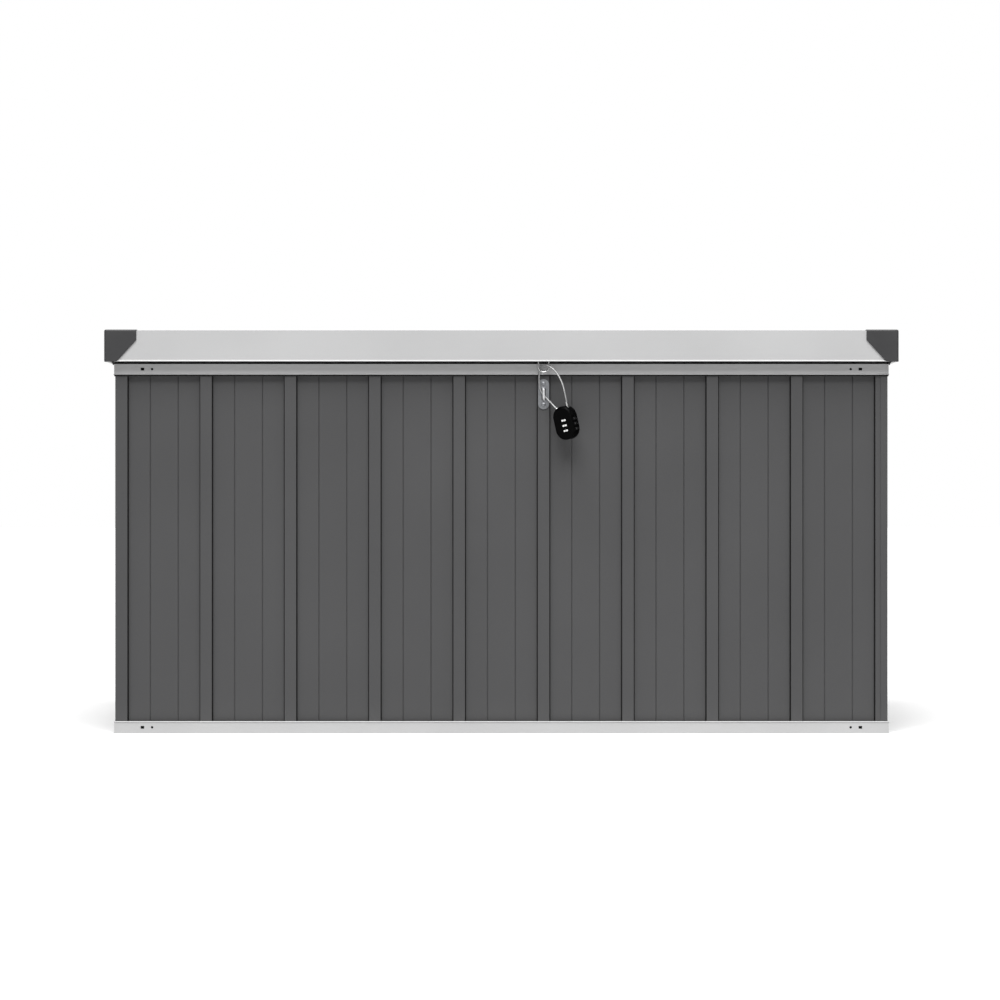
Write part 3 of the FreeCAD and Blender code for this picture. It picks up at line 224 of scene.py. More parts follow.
class StudioSettings(bpy.types.PropertyGroup):
    """Floor, light and camera."""

    camera_distance: distance("Camera distance", "Lens to the lid's front", 5.4)
    camera_side: distance("Camera side", "Lens to the right of the box's middle", -0.0025)
    camera_height: distance("Camera height", "Lens above the floor", 0.4184)
    lens: FloatProperty(name="Lens", description="Focal length", default=108.85, unit="CAMERA")
    floor: colour("Floor", "Pale floor", (0.66, 0.66, 0.66))
    floor_radius: distance("Floor radius", "Radius of the floor", 40.0)
    sky: share("Sky", "Brightness of the white room", 0.33, 5.0)
    side: share("Side", "Brightness of the room to the left and right", 0.02, 5.0)
    falloff: share("Falloff", "How suddenly the room dims to the left and right", 1.6, 5.0)
    key: share("Key light", "Strength of the large soft light in front", 6.2, 50.0)
    key_angle: angle("Key angle", "How large the light in front seems", 44)
    key_from: FloatVectorProperty(name="Key from", description="Way to the light", default=(-0.03, -1.0, 1.8))


def settings():
    """The scene's settings for this box."""
    return bpy.context.scene.deck_box


# ------------------------------------------------------------------------------------------ materials


def new_group(name, inputs, outputs):
    """An empty shader node group with named number inputs and outputs, and its input and output nodes."""
    group = bpy.data.node_groups.new(name, "ShaderNodeTree")
    for title, value in inputs.items():
        socket = group.interface.new_socket(title, in_out="INPUT", socket_type="NodeSocketFloat")
        socket.default_value = value
    for title in outputs:
        group.interface.new_socket(title, in_out="OUTPUT", socket_type="NodeSocketFloat")
    return group, group.nodes.new("NodeGroupInput"), group.nodes.new("NodeGroupOutput")


def add(tree, kind, links=None, **values):
    """A node in the tree. Values that name an input are set on it, others are the node's own properties."""
    node = tree.nodes.new(kind)
    for key, value in values.items():
        if hasattr(node, key):
            setattr(node, key, value)
        else:
            node.inputs[key.replace("_", " ").title()].default_value = value
    for title, source in (links or {}).items():
        tree.links.new(source, node.inputs[title])
    return node


def work(tree, operation, first, second=0.0):
    """A Math node's result. Each of first and second is a socket or a number."""
    node = tree.nodes.new("ShaderNodeMath")
    node.operation = operation
    for socket, value in zip(node.inputs, (first, second)):
        if isinstance(value, (int, float)):
            socket.default_value = value
        else:
            tree.links.new(value, socket)
    return node.outputs[0]


def mixed(tree, *shares):
    """The sum of patterns, each taken times its share."""
    first, *others = [work(tree, "MULTIPLY", pattern, amount) for pattern, amount in shares]
    for other in others:
        first = work(tree, "ADD", first, other)
    return first


def object_place(tree):
    """Object coordinates, in metres."""
    return tree.nodes.new("ShaderNodeTexCoord").outputs["Object"]


def coat_grain_group():
    """Grain of a coat or of moulded plastic, at two sizes, with broad faint patches."""
    group, given, out = new_group("coat grain", {"Scale": 900.0, "Patch": 6.0}, ("Height", "Tone", "Gloss"))
    place = object_place(group)
    coarser = 0.31
    fine = add(group, "ShaderNodeTexNoise", {"Vector": place, "Scale": given.outputs["Scale"]}, detail=2.0)
    coarse_scale = work(group, "MULTIPLY", given.outputs["Scale"], coarser)
    coarse = add(group, "ShaderNodeTexNoise", {"Vector": place, "Scale": coarse_scale}, detail=1.0)
    broad = add(group, "ShaderNodeTexNoise", {"Vector": place, "Scale": given.outputs["Patch"]}, detail=3.0)
    fine, coarse, broad = (noise.outputs["Fac"] for noise in (fine, coarse, broad))
    height = mixed(group, (fine, 0.4), (coarse, 1.0))
    tone = mixed(group, (fine, 0.45), (broad, 0.55))
    gloss = mixed(group, (coarse, 0.4), (broad, 0.6))
    for title, result in (("Height", height), ("Tone", tone), ("Gloss", gloss)):
        group.links.new(result, out.inputs[title])
    return group


def dust_group():
    """A thin, patchy film: most on faces that look up, and on what stands near the ground."""
    inputs = {"Top": 0.5, "Ground": 0.6, "Reach": 0.12, "Scale": 14.0}
    group, given, out = new_group("dust", inputs, ("Mask",))
    place = object_place(group)
    top_falloff, ground_falloff = 3.0, 2.0
    normal = group.nodes.new("ShaderNodeNewGeometry").outputs["Normal"]
    up = add(group, "ShaderNodeSeparateXYZ", {"Vector": normal})
    level = work(group, "MAXIMUM", up.outputs["Z"], 0.0)
    level = work(group, "MULTIPLY", work(group, "POWER", level, top_falloff), given.outputs["Top"])
    high = add(group, "ShaderNodeSeparateXYZ", {"Vector": place}).outputs["Z"]
    low = work(group, "DIVIDE", high, given.outputs["Reach"])
    low = work(group, "MAXIMUM", work(group, "SUBTRACT", 1.0, low), 0.0)
    low = work(group, "MULTIPLY", work(group, "POWER", low, ground_falloff), given.outputs["Ground"])
    patches = add(group, "ShaderNodeTexNoise", {"Vector": place, "Scale": given.outputs["Scale"]}, detail=6.0)
    amount = work(group, "MULTIPLY", work(group, "ADD", level, low), patches.outputs["Fac"])
    result = group.nodes.new("ShaderNodeClamp")
    group.links.new(amount, result.inputs["Value"])
    group.links.new(result.outputs[0], out.inputs["Mask"])
    return group


def streak_group():
    """Fine drawn lines that run along one direction of the metal, with small scratches."""
    group, given, out = new_group("streaks", {"Scale": 700.0}, ("Height", "Tone"))
    vector = group.interface.new_socket("Vector", in_out="INPUT", socket_type="NodeSocketVector")
    vector.default_value = (0.0, 0.0, 0.0)
    lines = add(
        group, "ShaderNodeTexNoise", {"Vector": given.outputs["Vector"], "Scale": given.outputs["Scale"]},
        detail=3.0, roughness=0.7,
    )
    hair_scale = 2.7
    finer = work(group, "MULTIPLY", given.outputs["Scale"], hair_scale)
    hairs = add(group, "ShaderNodeTexNoise", {"Vector": given.outputs["Vector"], "Scale": finer}, detail=2.0)
    group.links.new(lines.outputs["Fac"], out.inputs["Height"])
    tone = mixed(group, (lines.outputs["Fac"], 0.6), (hairs.outputs["Fac"], 0.4))
    group.links.new(tone, out.inputs["Tone"])
    return group


def spangle_group():
    """Crystals of hot-dip zinc, each with its own tone and shine."""
    group, given, out = new_group("spangle", {"Scale": 55.0}, ("Tone", "Gloss"))
    place = object_place(group)
    bent = add(group, "ShaderNodeTexNoise", {"Vector": place, "Scale": given.outputs["Scale"]}, detail=2.0)
    push = add(group, "ShaderNodeVectorMath", {0: bent.outputs["Color"]}, operation="SCALE")
    crystal_bend = 0.012
    push.inputs["Scale"].default_value = crystal_bend
    moved = add(group, "ShaderNodeVectorMath", {0: place, 1: push.outputs[0]}, operation="ADD")
    cells = add(group, "ShaderNodeTexVoronoi", {"Vector": moved.outputs[0], "Scale": given.outputs["Scale"]})
    parts = add(group, "ShaderNodeSeparateColor", {"Color": cells.outputs["Color"]})
    group.links.new(parts.outputs["Red"], out.inputs["Tone"])
    group.links.new(parts.outputs["Green"], out.inputs["Gloss"])
    return group


def strand_group():
    """Wire strands laid round a cable, from the cable's own map."""
    group, given, out = new_group("strands", {"Turns": 10.0, "Strands": 7.0}, ("Height", "Tone"))
    strand_wave, wire_wave = math.pi, 5 * math.pi
    unrolled = group.nodes.new("ShaderNodeTexCoord").outputs["UV"]
    place = add(group, "ShaderNodeSeparateXYZ", {"Vector": unrolled})
    along = work(group, "MULTIPLY", place.outputs["X"], given.outputs["Turns"])
    round_it = work(group, "ADD", place.outputs["Y"], along)
    phase = work(group, "MULTIPLY", round_it, given.outputs["Strands"])
    wave, wires = (
        work(group, "ABSOLUTE", work(group, "SINE", work(group, "MULTIPLY", phase, length)))
        for length in (strand_wave, wire_wave)
    )
    group.links.new(mixed(group, (wave, 1.0), (wires, 0.2)), out.inputs["Height"])
    # Tone is darkest in the grooves between the strands; it gives painted shade there.
    group.links.new(work(group, "SQRT", wave), out.inputs["Tone"])
    return group


GROUPS = {
    "coat grain": coat_grain_group,
    "dust": dust_group,
    "streaks": streak_group,
    "spangle": spangle_group,
    "strands": strand_group,
}


class Finish:
    """One material: a Principled shader, with patterns from the shared groups."""

    def __init__(self, name, metallic=0.0, roughness=0.5, specular=0.5, coat=0.0, coat_roughness=0.03):
        self.material = bpy.data.materials.new(name)
        self.material.use_nodes = True
        self.tree = self.material.node_tree
        self.shader = self.tree.nodes["Principled BSDF"]
        values = {
            "Metallic": metallic,
            "Roughness": roughness,
            "Specular IOR Level": specular,
            "Coat Weight": coat,
            "Coat Roughness": coat_roughness,
        }
        for title, value in values.items():
            self.shader.inputs[title].default_value = value

    def pattern(self, name, **values):
        """The outputs of a shared group placed in this material."""
        node = self.tree.nodes.new("ShaderNodeGroup")
        node.node_tree = bpy.data.node_groups.get(name) or GROUPS[name]()
        for title, value in values.items():
            if isinstance(value, bpy.types.NodeSocket):
                self.tree.links.new(value, node.inputs[title.title()])
            else:
                node.inputs[title.title()].default_value = value
        return node.outputs

    def tint(self, base, factor, darker, lighter):
        """The base colour, made darker and lighter by a pattern."""
        ramp = self.tree.nodes.new("ShaderNodeValToRGB")
        for element, level, position in zip(ramp.color_ramp.elements, (darker, lighter), NOISE_SPAN):
            element.color = [min(1.0, part * level) for part in base] + [1.0]
            element.position = position
        self.tree.links.new(factor, ramp.inputs["Fac"])
        return ramp.outputs["Color"]

    def over(self, under, upper, mask):
        """The colour upper laid over the colour under where the mask is."""
        node = self.tree.nodes.new("ShaderNodeMix")
        node.data_type = "RGBA"
        self.tree.links.new(mask, node.inputs["Factor"])
        self.tree.links.new(under, node.inputs["A"])
        node.inputs["B"].default_value = [*upper, 1.0]
        return node.outputs["Result"]

    def shine(self, factor, low, high):
        """Roughness from low to high by a pattern."""
        node = self.tree.nodes.new("ShaderNodeMapRange")
        self.tree.links.new(factor, node.inputs["Value"])
        for title, value in zip(("From Min", "From Max", "To Min", "To Max"), (*NOISE_SPAN, low, high)):
            node.inputs[title].default_value = value
        self.tree.links.new(node.outputs["Result"], self.shader.inputs["Roughness"])

    def relief(self, height, depth):
        """Bumps of that depth in metres."""
        node = self.tree.nodes.new("ShaderNodeBump")
        node.inputs["Distance"].default_value = depth
        node.inputs["Strength"].default_value = 1.0
        self.tree.links.new(height, node.inputs["Height"])
        self.tree.links.new(node.outputs["Normal"], self.shader.inputs["Normal"])

    def paint(self, socket):
        """The pattern that gives the base colour."""
        self.tree.links.new(socket, self.shader.inputs["Base Color"])

    def stretched(self, scale):
        """Object coordinates, pressed together so that a pattern becomes long lines."""
        node = self.tree.nodes.new("ShaderNodeMapping")
        self.tree.links.new(object_place(self.tree), node.inputs["Vector"])
        node.inputs["Scale"].default_value = scale
        return node.outputs["Vector"]


def coated(name, base, roughness, dust, specular=0.5):
    """Powder-coated steel: fine orange-peel grain, faint patches and a little dust."""
    coat = settings().coat
    finish = Finish(name, roughness=roughness, specular=specular)
    grain = finish.pattern("coat grain", scale=coat.grain, patch=4.0)
    film = finish.pattern("dust", top=dust, ground=dust * GROUND_DUST, reach=0.08, scale=11.0)
    tint = finish.tint(base, grain["Tone"], darker=0.93, lighter=1.07)
    finish.paint(finish.over(tint, DUST, film["Mask"]))
    shinier, duller = COAT_SPREAD
    finish.shine(grain["Gloss"], low=roughness - shinier, high=roughness + duller)
    finish.relief(grain["Height"], coat.grain_depth)
    return finish.material


def silver_coat():
    """Silver powder coat."""
    coat = settings().coat
    return coated("silver powder coat", coat.silver, coat.silver_roughness, dust=0.06)


def grey_coat():
    """Dark grey powder coat."""
    coat = settings().coat
    return coated("grey powder coat", coat.grey, coat.grey_roughness, dust=0.05)


def hem_coat():
    """The same coat made brighter on the lid rim's rolled foot: a painted highlight."""
    return coated("hem painted highlight", settings().coat.hem, roughness=0.35, dust=0.0)


def slope_coat():
    """Darker coat on the steep sides of the ribs: painted shade."""
    return coated("rib slope painted shade", settings().coat.slope, roughness=0.7, dust=0.0, specular=0.1)


def cap_plastic():
    """Moulded plastic with a fine leathery grain."""
    finish = Finish("corner cap plastic", roughness=0.55, specular=0.4)
    grain = finish.pattern("coat grain", scale=1500.0, patch=25.0)
    film = finish.pattern("dust", top=0.10, ground=0.0, reach=0.1, scale=30.0)
    tint = finish.tint(settings().trim.cap, grain["Tone"], darker=0.88, lighter=1.12)
    finish.paint(finish.over(tint, DUST, film["Mask"]))
    finish.shine(grain["Gloss"], low=0.48, high=0.66)
    finish.relief(grain["Height"], depth=0.0001)
    return finish.material


def zinc_plate():
    """Bright zinc plate with a drawn grain and a cloudy sheen."""
    finish = Finish("zinc plate", metallic=0.8, roughness=0.48)
    lines = finish.pattern("streaks", scale=420.0, vector=finish.stretched(scale=(1.0, 1.0, 0.12)))
    cloud = finish.pattern("coat grain", scale=260.0, patch=60.0)
    finish.paint(finish.tint(settings().trim.zinc, cloud["Tone"], darker=0.80, lighter=1.18))
    finish.shine(cloud["Gloss"], low=0.42, high=0.58)
    finish.relief(lines["Height"], depth=0.00003)
    return finish.material


def rubbed_strap():
    """Brighter zinc on the hasp's front: a painted highlight."""
    finish = Finish("strap painted highlight", metallic=0.7, roughness=0.35)
    lines = finish.pattern("streaks", scale=420.0, vector=finish.stretched(scale=(1.0, 1.0, 0.12)))
    finish.paint(finish.tint(settings().trim.strap, lines["Tone"], darker=0.8, lighter=1.15))
    finish.shine(lines["Tone"], low=0.3, high=0.42)
    return finish.material


def galvanised():
    """Hot-dip zinc with its crystals."""
    trim = settings().trim
    finish = Finish("galvanised sheet", metallic=0.9, roughness=0.42)
    crystals = finish.pattern("spangle", scale=trim.spangle)
    film = finish.pattern("dust", top=0.35, ground=0.0, reach=0.1, scale=9.0)
    tint = finish.tint(trim.galvanised, crystals["Tone"], darker=0.78, lighter=1.15)
    finish.paint(finish.over(tint, DUST, film["Mask"]))
    finish.shine(crystals["Gloss"], low=0.32, high=0.5)
    return finish.material


def bright_steel():
    """Bright drawn steel wire."""
    finish = Finish("bright steel", metallic=1.0, roughness=0.2)
    lines = finish.pattern("streaks", scale=600.0, vector=finish.stretched(scale=(1.0, 1.0, 0.15)))
    finish.paint(finish.tint(settings().trim.steel, lines["Tone"], darker=0.85, lighter=1.15))
    finish.shine(lines["Tone"], low=0.14, high=0.28)
    finish.relief(lines["Height"], depth=0.00001)
    return finish.material


def chrome_rod():
    """Ground and chromed rod."""
    finish = Finish("chromed rod", metallic=1.0, roughness=0.1)
    lines = finish.pattern("streaks", scale=300.0, vector=finish.stretched(scale=(0.1, 1.0, 1.0)))
    finish.paint(finish.tint((0.74, 0.74, 0.75), lines["Tone"], darker=0.94, lighter=1.06))
    finish.shine(lines["Tone"], low=0.06, high=0.15)
    return finish.material


def strut_paint():
    """Black paint on the strut's tube."""
    finish = Finish("black strut paint", roughness=0.3, coat=0.4, coat_roughness=0.12)
    grain = finish.pattern("coat grain", scale=700.0, patch=30.0)
    finish.paint(finish.tint(settings().trim.tube, grain["Tone"], darker=0.8, lighter=1.3))
    finish.shine(grain["Gloss"], low=0.24, high=0.4)
    finish.relief(grain["Height"], depth=0.00003)
    return finish.material


def bumper_rubber():
    """Dull rubber."""
    finish = Finish("bumper rubber", roughness=0.8, specular=0.3)
    grain = finish.pattern("coat grain", scale=1200.0, patch=80.0)
    finish.paint(finish.tint(settings().trim.rubber, grain["Tone"], darker=0.75, lighter=1.3))
    finish.shine(grain["Gloss"], low=0.7, high=0.9)
    finish.relief(grain["Height"], depth=0.0001)
    return finish.material


def lock_plastic(name="lock case plastic", level=1.0):
    """Black moulded plastic, a little shiny where it is handled."""
    finish = Finish(name, roughness=0.5, specular=0.03)
    grain = finish.pattern("coat grain", scale=2200.0, patch=70.0)
    base = [part * level for part in settings().lock.case]
    finish.paint(finish.tint(base, grain["Tone"], darker=0.7, lighter=1.4))
    finish.shine(grain["Gloss"], low=0.36, high=0.55)
    finish.relief(grain["Height"], depth=0.00004)
    return finish.material


def number_plate():
    """White plate."""
    finish = Finish("white number plate", roughness=0.35)
    grain = finish.pattern("coat grain", scale=900.0, patch=200.0)
    finish.paint(finish.tint(settings().lock.plate, grain["Tone"], darker=0.94, lighter=1.04))
    finish.shine(grain["Gloss"], low=0.28, high=0.45)
    return finish.material


def ink(name, tone):
    """Ink of the numbers."""
    finish = Finish(name, roughness=0.5, specular=0.2)
    grain = finish.pattern("coat grain", scale=1800.0, patch=300.0)
    finish.paint(finish.tint(tone, grain["Tone"], darker=0.8, lighter=1.2))
    return finish.material


def dark_liner():
    """Dull black for painted shade: the strip in the lid's gap, the patches behind the rail holes and the
    foot of the top rails.
    """
    finish = Finish("painted shade black", roughness=0.9, specular=0.05)
    grain = finish.pattern("coat grain", scale=900.0, patch=90.0)
    finish.paint(finish.tint(settings().trim.liner, grain["Tone"], darker=0.7, lighter=1.3))
    return finish.material


def cable_steel():
    """Stranded steel under a clear coat, with painted shade in the grooves between the strands."""
    cable = settings().cable
    finish = Finish("coated steel cable", metallic=0.9, roughness=0.42, coat=0.25, coat_roughness=0.2)
    strands = finish.pattern("strands", turns=cable.length / cable.lay, strands=float(cable.strands))
    # The strands' Tone darkens the grooves between strands: painted shade.
    finish.paint(finish.tint(cable.wire, strands["Tone"], darker=0.45, lighter=1.1))
    finish.shine(strands["Tone"], low=0.36, high=0.5)
    finish.relief(strands["Height"], depth=0.0002)
    return finish.material


FINISHES = {
    "silver": silver_coat,
    "grey": grey_coat,
    "cap": cap_plastic,
    "zinc": zinc_plate,
    "galvanised": galvanised,
    "steel": bright_steel,
    "chrome": chrome_rod,
    "tube": strut_paint,
    "rubber": bumper_rubber,
    "lock": lock_plastic,
    "dial": lambda: lock_plastic("dial plastic", level=2.6),
    "plate": number_plate,
    "ink": lambda: ink("plate ink", settings().lock.ink),
    "dial ink": lambda: ink("dial ink", settings().lock.dial_ink),
    "liner": dark_liner,
    "hem": hem_coat,
    "slope": slope_coat,
    "strap": rubbed_strap,
    "cable": cable_steel,
}
MADE = {}


def finish_of(name):
    """The material of that name, made when it is first asked for."""
    if name not in MADE:
        MADE[name] = FINISHES[name]()
    return MADE[name]


def dress(finish, *words):
    """Gives a finish to the CAD nodes whose names start with one of the words."""
    found = [node for name, node in NODES.items() if name.startswith(words)]
    if not found:
        raise RuntimeError(f"no node starts with {words}")
    for node in found:
        node.data.materials.clear()
        node.data.materials.append(finish_of(finish))


def touch_up(finish, word, test):
    """Gives a finish to those faces of the CAD nodes whose centre and normal pass a test."""
    for node in (node for name, node in NODES.items() if name.startswith(word)):
        node.data.materials.append(finish_of(finish))
        turn = node.matrix_world.to_3x3()
        for face in node.data.polygons:
            if test(node.matrix_world @ face.center, turn @ face.normal):
                face.material_index = len(node.data.materials) - 1


def corners_of(name):
    """The lower and upper corners of a CAD node."""
    node = NODES[name]
    spots = [node.matrix_world @ Vector(corner) for corner in node.bound_box]
    return [Vector([pick(values) for values in zip(*spots)]) for pick in (min, max)]


def blocks_piece(name, spans):
    """One piece of several blocks: spans holds each block's lower and upper corner."""
    shape = bmesh.new()
    for low, high in spans:
        low, high = Vector(low), Vector(high)
        size = Matrix.Diagonal((*(high - low), 1.0))
        bmesh.ops.create_cube(shape, size=1.0, matrix=Matrix.Translation((low + high) / 2) @ size)
    mesh = bpy.data.meshes.new(name)
    shape.to_mesh(mesh)
    shape.free()
    return bpy.data.objects.new(name, mesh)


def place(piece, body, slot, finish):
    """A new piece takes its finish, and rides on its body if it has only one."""
    bpy.context.scene.collection.objects.link(piece)
    piece.data.materials.append(finish_of(finish))
    if body:
        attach(piece, body)
    return piece


# ------------------------------------------------------------------------------------------ operators


class DECKBOX_OT_cable(bpy.types.Operator):
    """The lock's steel cable, round the lid's loop and behind the strap"""

    bl_idname = "deckbox.cable"
    bl_label = "Cable"

    def execute(self, context):
        cable = settings().cable
        line = bpy.data.curves.new("cable", "CURVE")
        line.dimensions = "3D"
        line.resolution_u = 10
        spline = line.splines.new("NURBS")
        spline.points.add(len(CABLE_ROUTE) - 1)
        for point, spot in zip(spline.points, CABLE_ROUTE):
            point.co = (*spot, 1.0)
        spline.order_u = 3
        spline.use_endpoint_u = True
        stand_in = bpy.data.objects.new("cable line", line)
        centre_line = bpy.data.meshes.new_from_object(stand_in)
        line.bevel_depth = cable.diameter / 2
        line.bevel_resolution = 5
        line.use_fill_caps = True
        tube = bpy.data.meshes.new_from_object(stand_in)
        tube.shade_smooth()
        bpy.data.objects.remove(stand_in)
        piece = place(bpy.data.objects.new("steel_cable", tube), None, "steel_cable", "cable")
        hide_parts("lock_cable")
        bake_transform(piece)
        return {"FINISHED"}


class DECKBOX_OT_walls(bpy.types.Operator):
    """Grey coat on the ribbed walls and the lid's top sheet, with painted shade on the steep sides of the
    ribs
    """

    bl_idname = "deckbox.walls"
    bl_label = "Ribbed walls"

    def execute(self, context):
        dress("grey", "front_panel", "rear_panel", "left_panel", "right_panel", "lid_top_panel")
        corner = corners_of("lid_seal")[1]
        lap = settings().coat.corner_lap
        for axis, words in ((0, ("front_panel", "rear_panel")), (1, ("left_panel", "right_panel"))):
            limit = corner[axis] - lap

            # Steep rib sides away from the corners get the painted shade colour.
            def on_a_slope(centre, normal):
                return abs(normal[axis]) > FACING and abs(centre[axis]) < limit

            for word in words:
                touch_up("slope", word, on_a_slope)
        return {"FINISHED"}


class DECKBOX_OT_rails(bpy.types.Operator):
    """Silver coat on the rails, the lid's sides and its stiffeners, with a painted highlight on the lid's
    rolled foot and painted shade along the foot of the top rails
    """

    bl_idname = "deckbox.rails"
    bl_label = "Rails and lid sides"

    def execute(self, context):
        dress("silver", "bottom_rail", "top_rail", "lid_rim", "lid_stiffeners")
        coat = settings().coat
        hem_highlight_top = corners_of("lid_rim_front")[0].z + coat.hem_height
        gap_shade_top = corners_of("top_rail_front")[0].z + coat.smear
        # Faces at the foot of the lid's rim that don't look down get the painted highlight colour.
        touch_up("hem", "lid_rim", lambda centre, normal: centre.z < hem_highlight_top and normal.z > DOWNWARDS)
        # Painted shade: the foot of each top rail is coloured black.
        touch_up("liner", "top_rail", lambda centre, normal: centre.z < gap_shade_top)
        return {"FINISHED"}


class DECKBOX_OT_edging(bpy.types.Operator):
    """Painted shade: a black strip along the top rails in the lid's gap, and black patches behind the holes
    near the rails' ends
    """

    bl_idname = "deckbox.edging"
    bl_label = "Edging and tape"

    def execute(self, context):
        trim = settings().trim
        seal_low, seal_high = corners_of("lid_seal")
        in_x, in_y = seal_high.x, seal_high.y
        rail_end, face = in_x + trim.seal_inset, in_y + trim.seal_inset
        out_x, out_y = rail_end + trim.edging_proud, face + trim.edging_proud
        foot, top = seal_low.z - trim.edging_drop, seal_high.z
        spans = []
        for side in (-1, 1):
            near, far = sorted((side * in_y, side * out_y))
            spans.append(((-out_x, near, foot), (out_x, far, top)))
            near, far = sorted((side * in_x, side * out_x))
            spans.append(((near, -in_y, foot), (far, in_y, top)))
        # The black strip stands where the lid's gap is in shade: painted shade.
        place(blocks_piece("rail_gap_shade_strip", spans), "box", "rubber", "liner")

        spans = []
        square, round_one = trim.hole_places
        past_square, past_round = trim.tape_margins
        ends = (rail_end - square + past_square, rail_end - round_one - past_round)
        depths = [face - depth for depth in trim.tape_depths]
        for rail in ("top_rail_front", "bottom_rail_front"):
            low, high = corners_of(rail)
            middle = (low.z + high.z) / 2
            foot, top = middle - trim.tape_reach, middle + trim.tape_reach
            for x_side in (-1, 1):
                near, far = sorted(x_side * end for end in ends)
                for y_side in (-1, 1):
                    front, back = sorted(y_side * depth for depth in depths)
                    spans.append(((near, front, foot), (far, back, top)))
        # Black patches behind the holes, where the rail's inside is in shade: painted shade.
        place(blocks_piece("hole_shade_patches", spans), "box", "rubber", "liner")
        return {"FINISHED"}


class DECKBOX_OT_floor_sheet(bpy.types.Operator):
    """Galvanised floor sheet and bearers"""

    bl_idname = "deckbox.floor_sheet"
    bl_label = "Floor sheet"

    def execute(self, context):
        dress("galvanised", "floor_panel", "floor_bearers")
        return {"FINISHED"}


class DECKBOX_OT_caps(bpy.types.Operator):
    """Plastic corner caps, rubber bumpers and rubber seals"""

    bl_idname = "deckbox.caps"
    bl_label = "Corner caps and rubber"

    def execute(self, context):
        dress("cap", "corner_cap")
        dress("rubber", "lid_bumpers", "lid_seal", "wall_seal")
        return {"FINISHED"}


class DECKBOX_OT_fittings(bpy.types.Operator):
    """Zinc-plated brackets, hinges, screws and hasp, and the lid's bright wire loop"""

    bl_idname = "deckbox.fittings"
    bl_label = "Fittings"

    def execute(self, context):
        dress("zinc", "corner_brackets", "bracket_screws", "hinge_", "strut_bracket", "hasp_plate")
        dress("zinc", "hasp_rivets")
        dress("steel", "hasp_loop", "loop_nuts", "hinge_pin")
        # Painted highlight: the hasp's front faces get a brighter zinc.
        highlight_back = corners_of("hasp_plate")[0].y + settings().trim.strap_reach
        touch_up("strap", "hasp_plate", lambda centre, normal: centre.y < highlight_back)
        return {"FINISHED"}


class DECKBOX_OT_struts(bpy.types.Operator):
    """Gas struts: black tubes and chromed rods"""

    bl_idname = "deckbox.struts"
    bl_label = "Gas struts"

    def execute(self, context):
        dress("tube", "strut_cylinder")
        dress("chrome", "strut_rod")
        return {"FINISHED"}


def lock_matrix():
    """Takes a place in the upright lock to where the lock hangs."""
    lock = settings().lock
    turned = Matrix.Rotation(lock.lean, 4, "Y") @ Matrix.Rotation(lock.turn, 4, "Z")
    return Matrix.Translation(lock.place) @ turned


def dial_level(index):
    """Height over the lock's middle of a dial and its window, counted from the top."""
    lock = settings().lock
    return (1 - index) * lock.dial_pitch - lock.dial_drop


def number_mesh(text, height):
    """A number that stands upright, facing -Y, with its middle at the origin."""
    letter = bpy.data.curves.new("number", "FONT")
    letter.body = text
    letter.size = height / DIGIT_SHARE
    letter.align_x = "CENTER"
    letter.extrude = settings().lock.number_thickness / 2
    letter.resolution_u = 3
    stand_in = bpy.data.objects.new("number", letter)
    mesh = bpy.data.meshes.new_from_object(stand_in)
    mesh.transform(Matrix.Rotation(math.pi / 2, 4, "X") @ Matrix.Translation((0, -height / 2, 0)))
    bpy.data.objects.remove(stand_in)
    return mesh


def numbers_piece(name, spots, height):
    """One piece of several numbers: spots holds each number's text and matrix."""
    shape = bmesh.new()
    for text, matrix in spots:
        mesh = number_mesh(text, height)
        mesh.transform(matrix)
        shape.from_mesh(mesh)
        bpy.data.meshes.remove(mesh)
    whole = bpy.data.meshes.new(name)
    shape.to_mesh(whole)
    shape.free()
    return bpy.data.objects.new(name, whole)


class DECKBOX_OT_lock(bpy.types.Operator):
    """Finishes of the lock's case, dials, windows and cable ends"""

    bl_idname = "deckbox.lock"
    bl_label = "Combination lock"

    def execute(self, context):
        dress("lock", "lock_front_shell", "lock_rear_shell", "release_button")
        dress("dial", "dial_top", "dial_middle", "dial_bottom")
        dress("plate", "number_windows")
        dress("steel", "dial_axle", "fixed_ferrule", "cable_plug")
        return {"FINISHED"}


class DECKBOX_OT_numbers(bpy.types.Operator):
    """Numbers round each dial and on each window's plate"""

    bl_idname = "deckbox.numbers"
    bl_label = "Numbers"

    def execute(self, context):
        lock = settings().lock
        hung = lock_matrix()
        outwards = Matrix.Translation((0, -lock.dial_radius - lock.number_gap, 0))
        for index, name in enumerate(("top", "middle", "bottom")):
            centre = Matrix.Translation((lock.dial_side, 0, dial_level(index)))
            turns = [Matrix.Rotation(math.radians(360 / DIGITS * digit), 4, "Z") for digit in range(DIGITS)]
            spots = [(str(digit), hung @ centre @ turn @ outwards) for digit, turn in enumerate(turns)]
            ring = numbers_piece(f"numbers_{name}", spots, lock.number_height)
            place(ring, f"dial_{name}", "number_plate", "dial ink")
        spots = []
        for index, text in enumerate(WINDOW_NUMBERS):
            spot = (lock.window_side, -lock.plate_front - lock.number_gap, dial_level(index))
            spots.append((text, hung @ Matrix.Translation(spot)))
        place(numbers_piece("numbers_windows", spots, lock.plate_height), "lock", "number_plate", "ink")
        return {"FINISHED"}


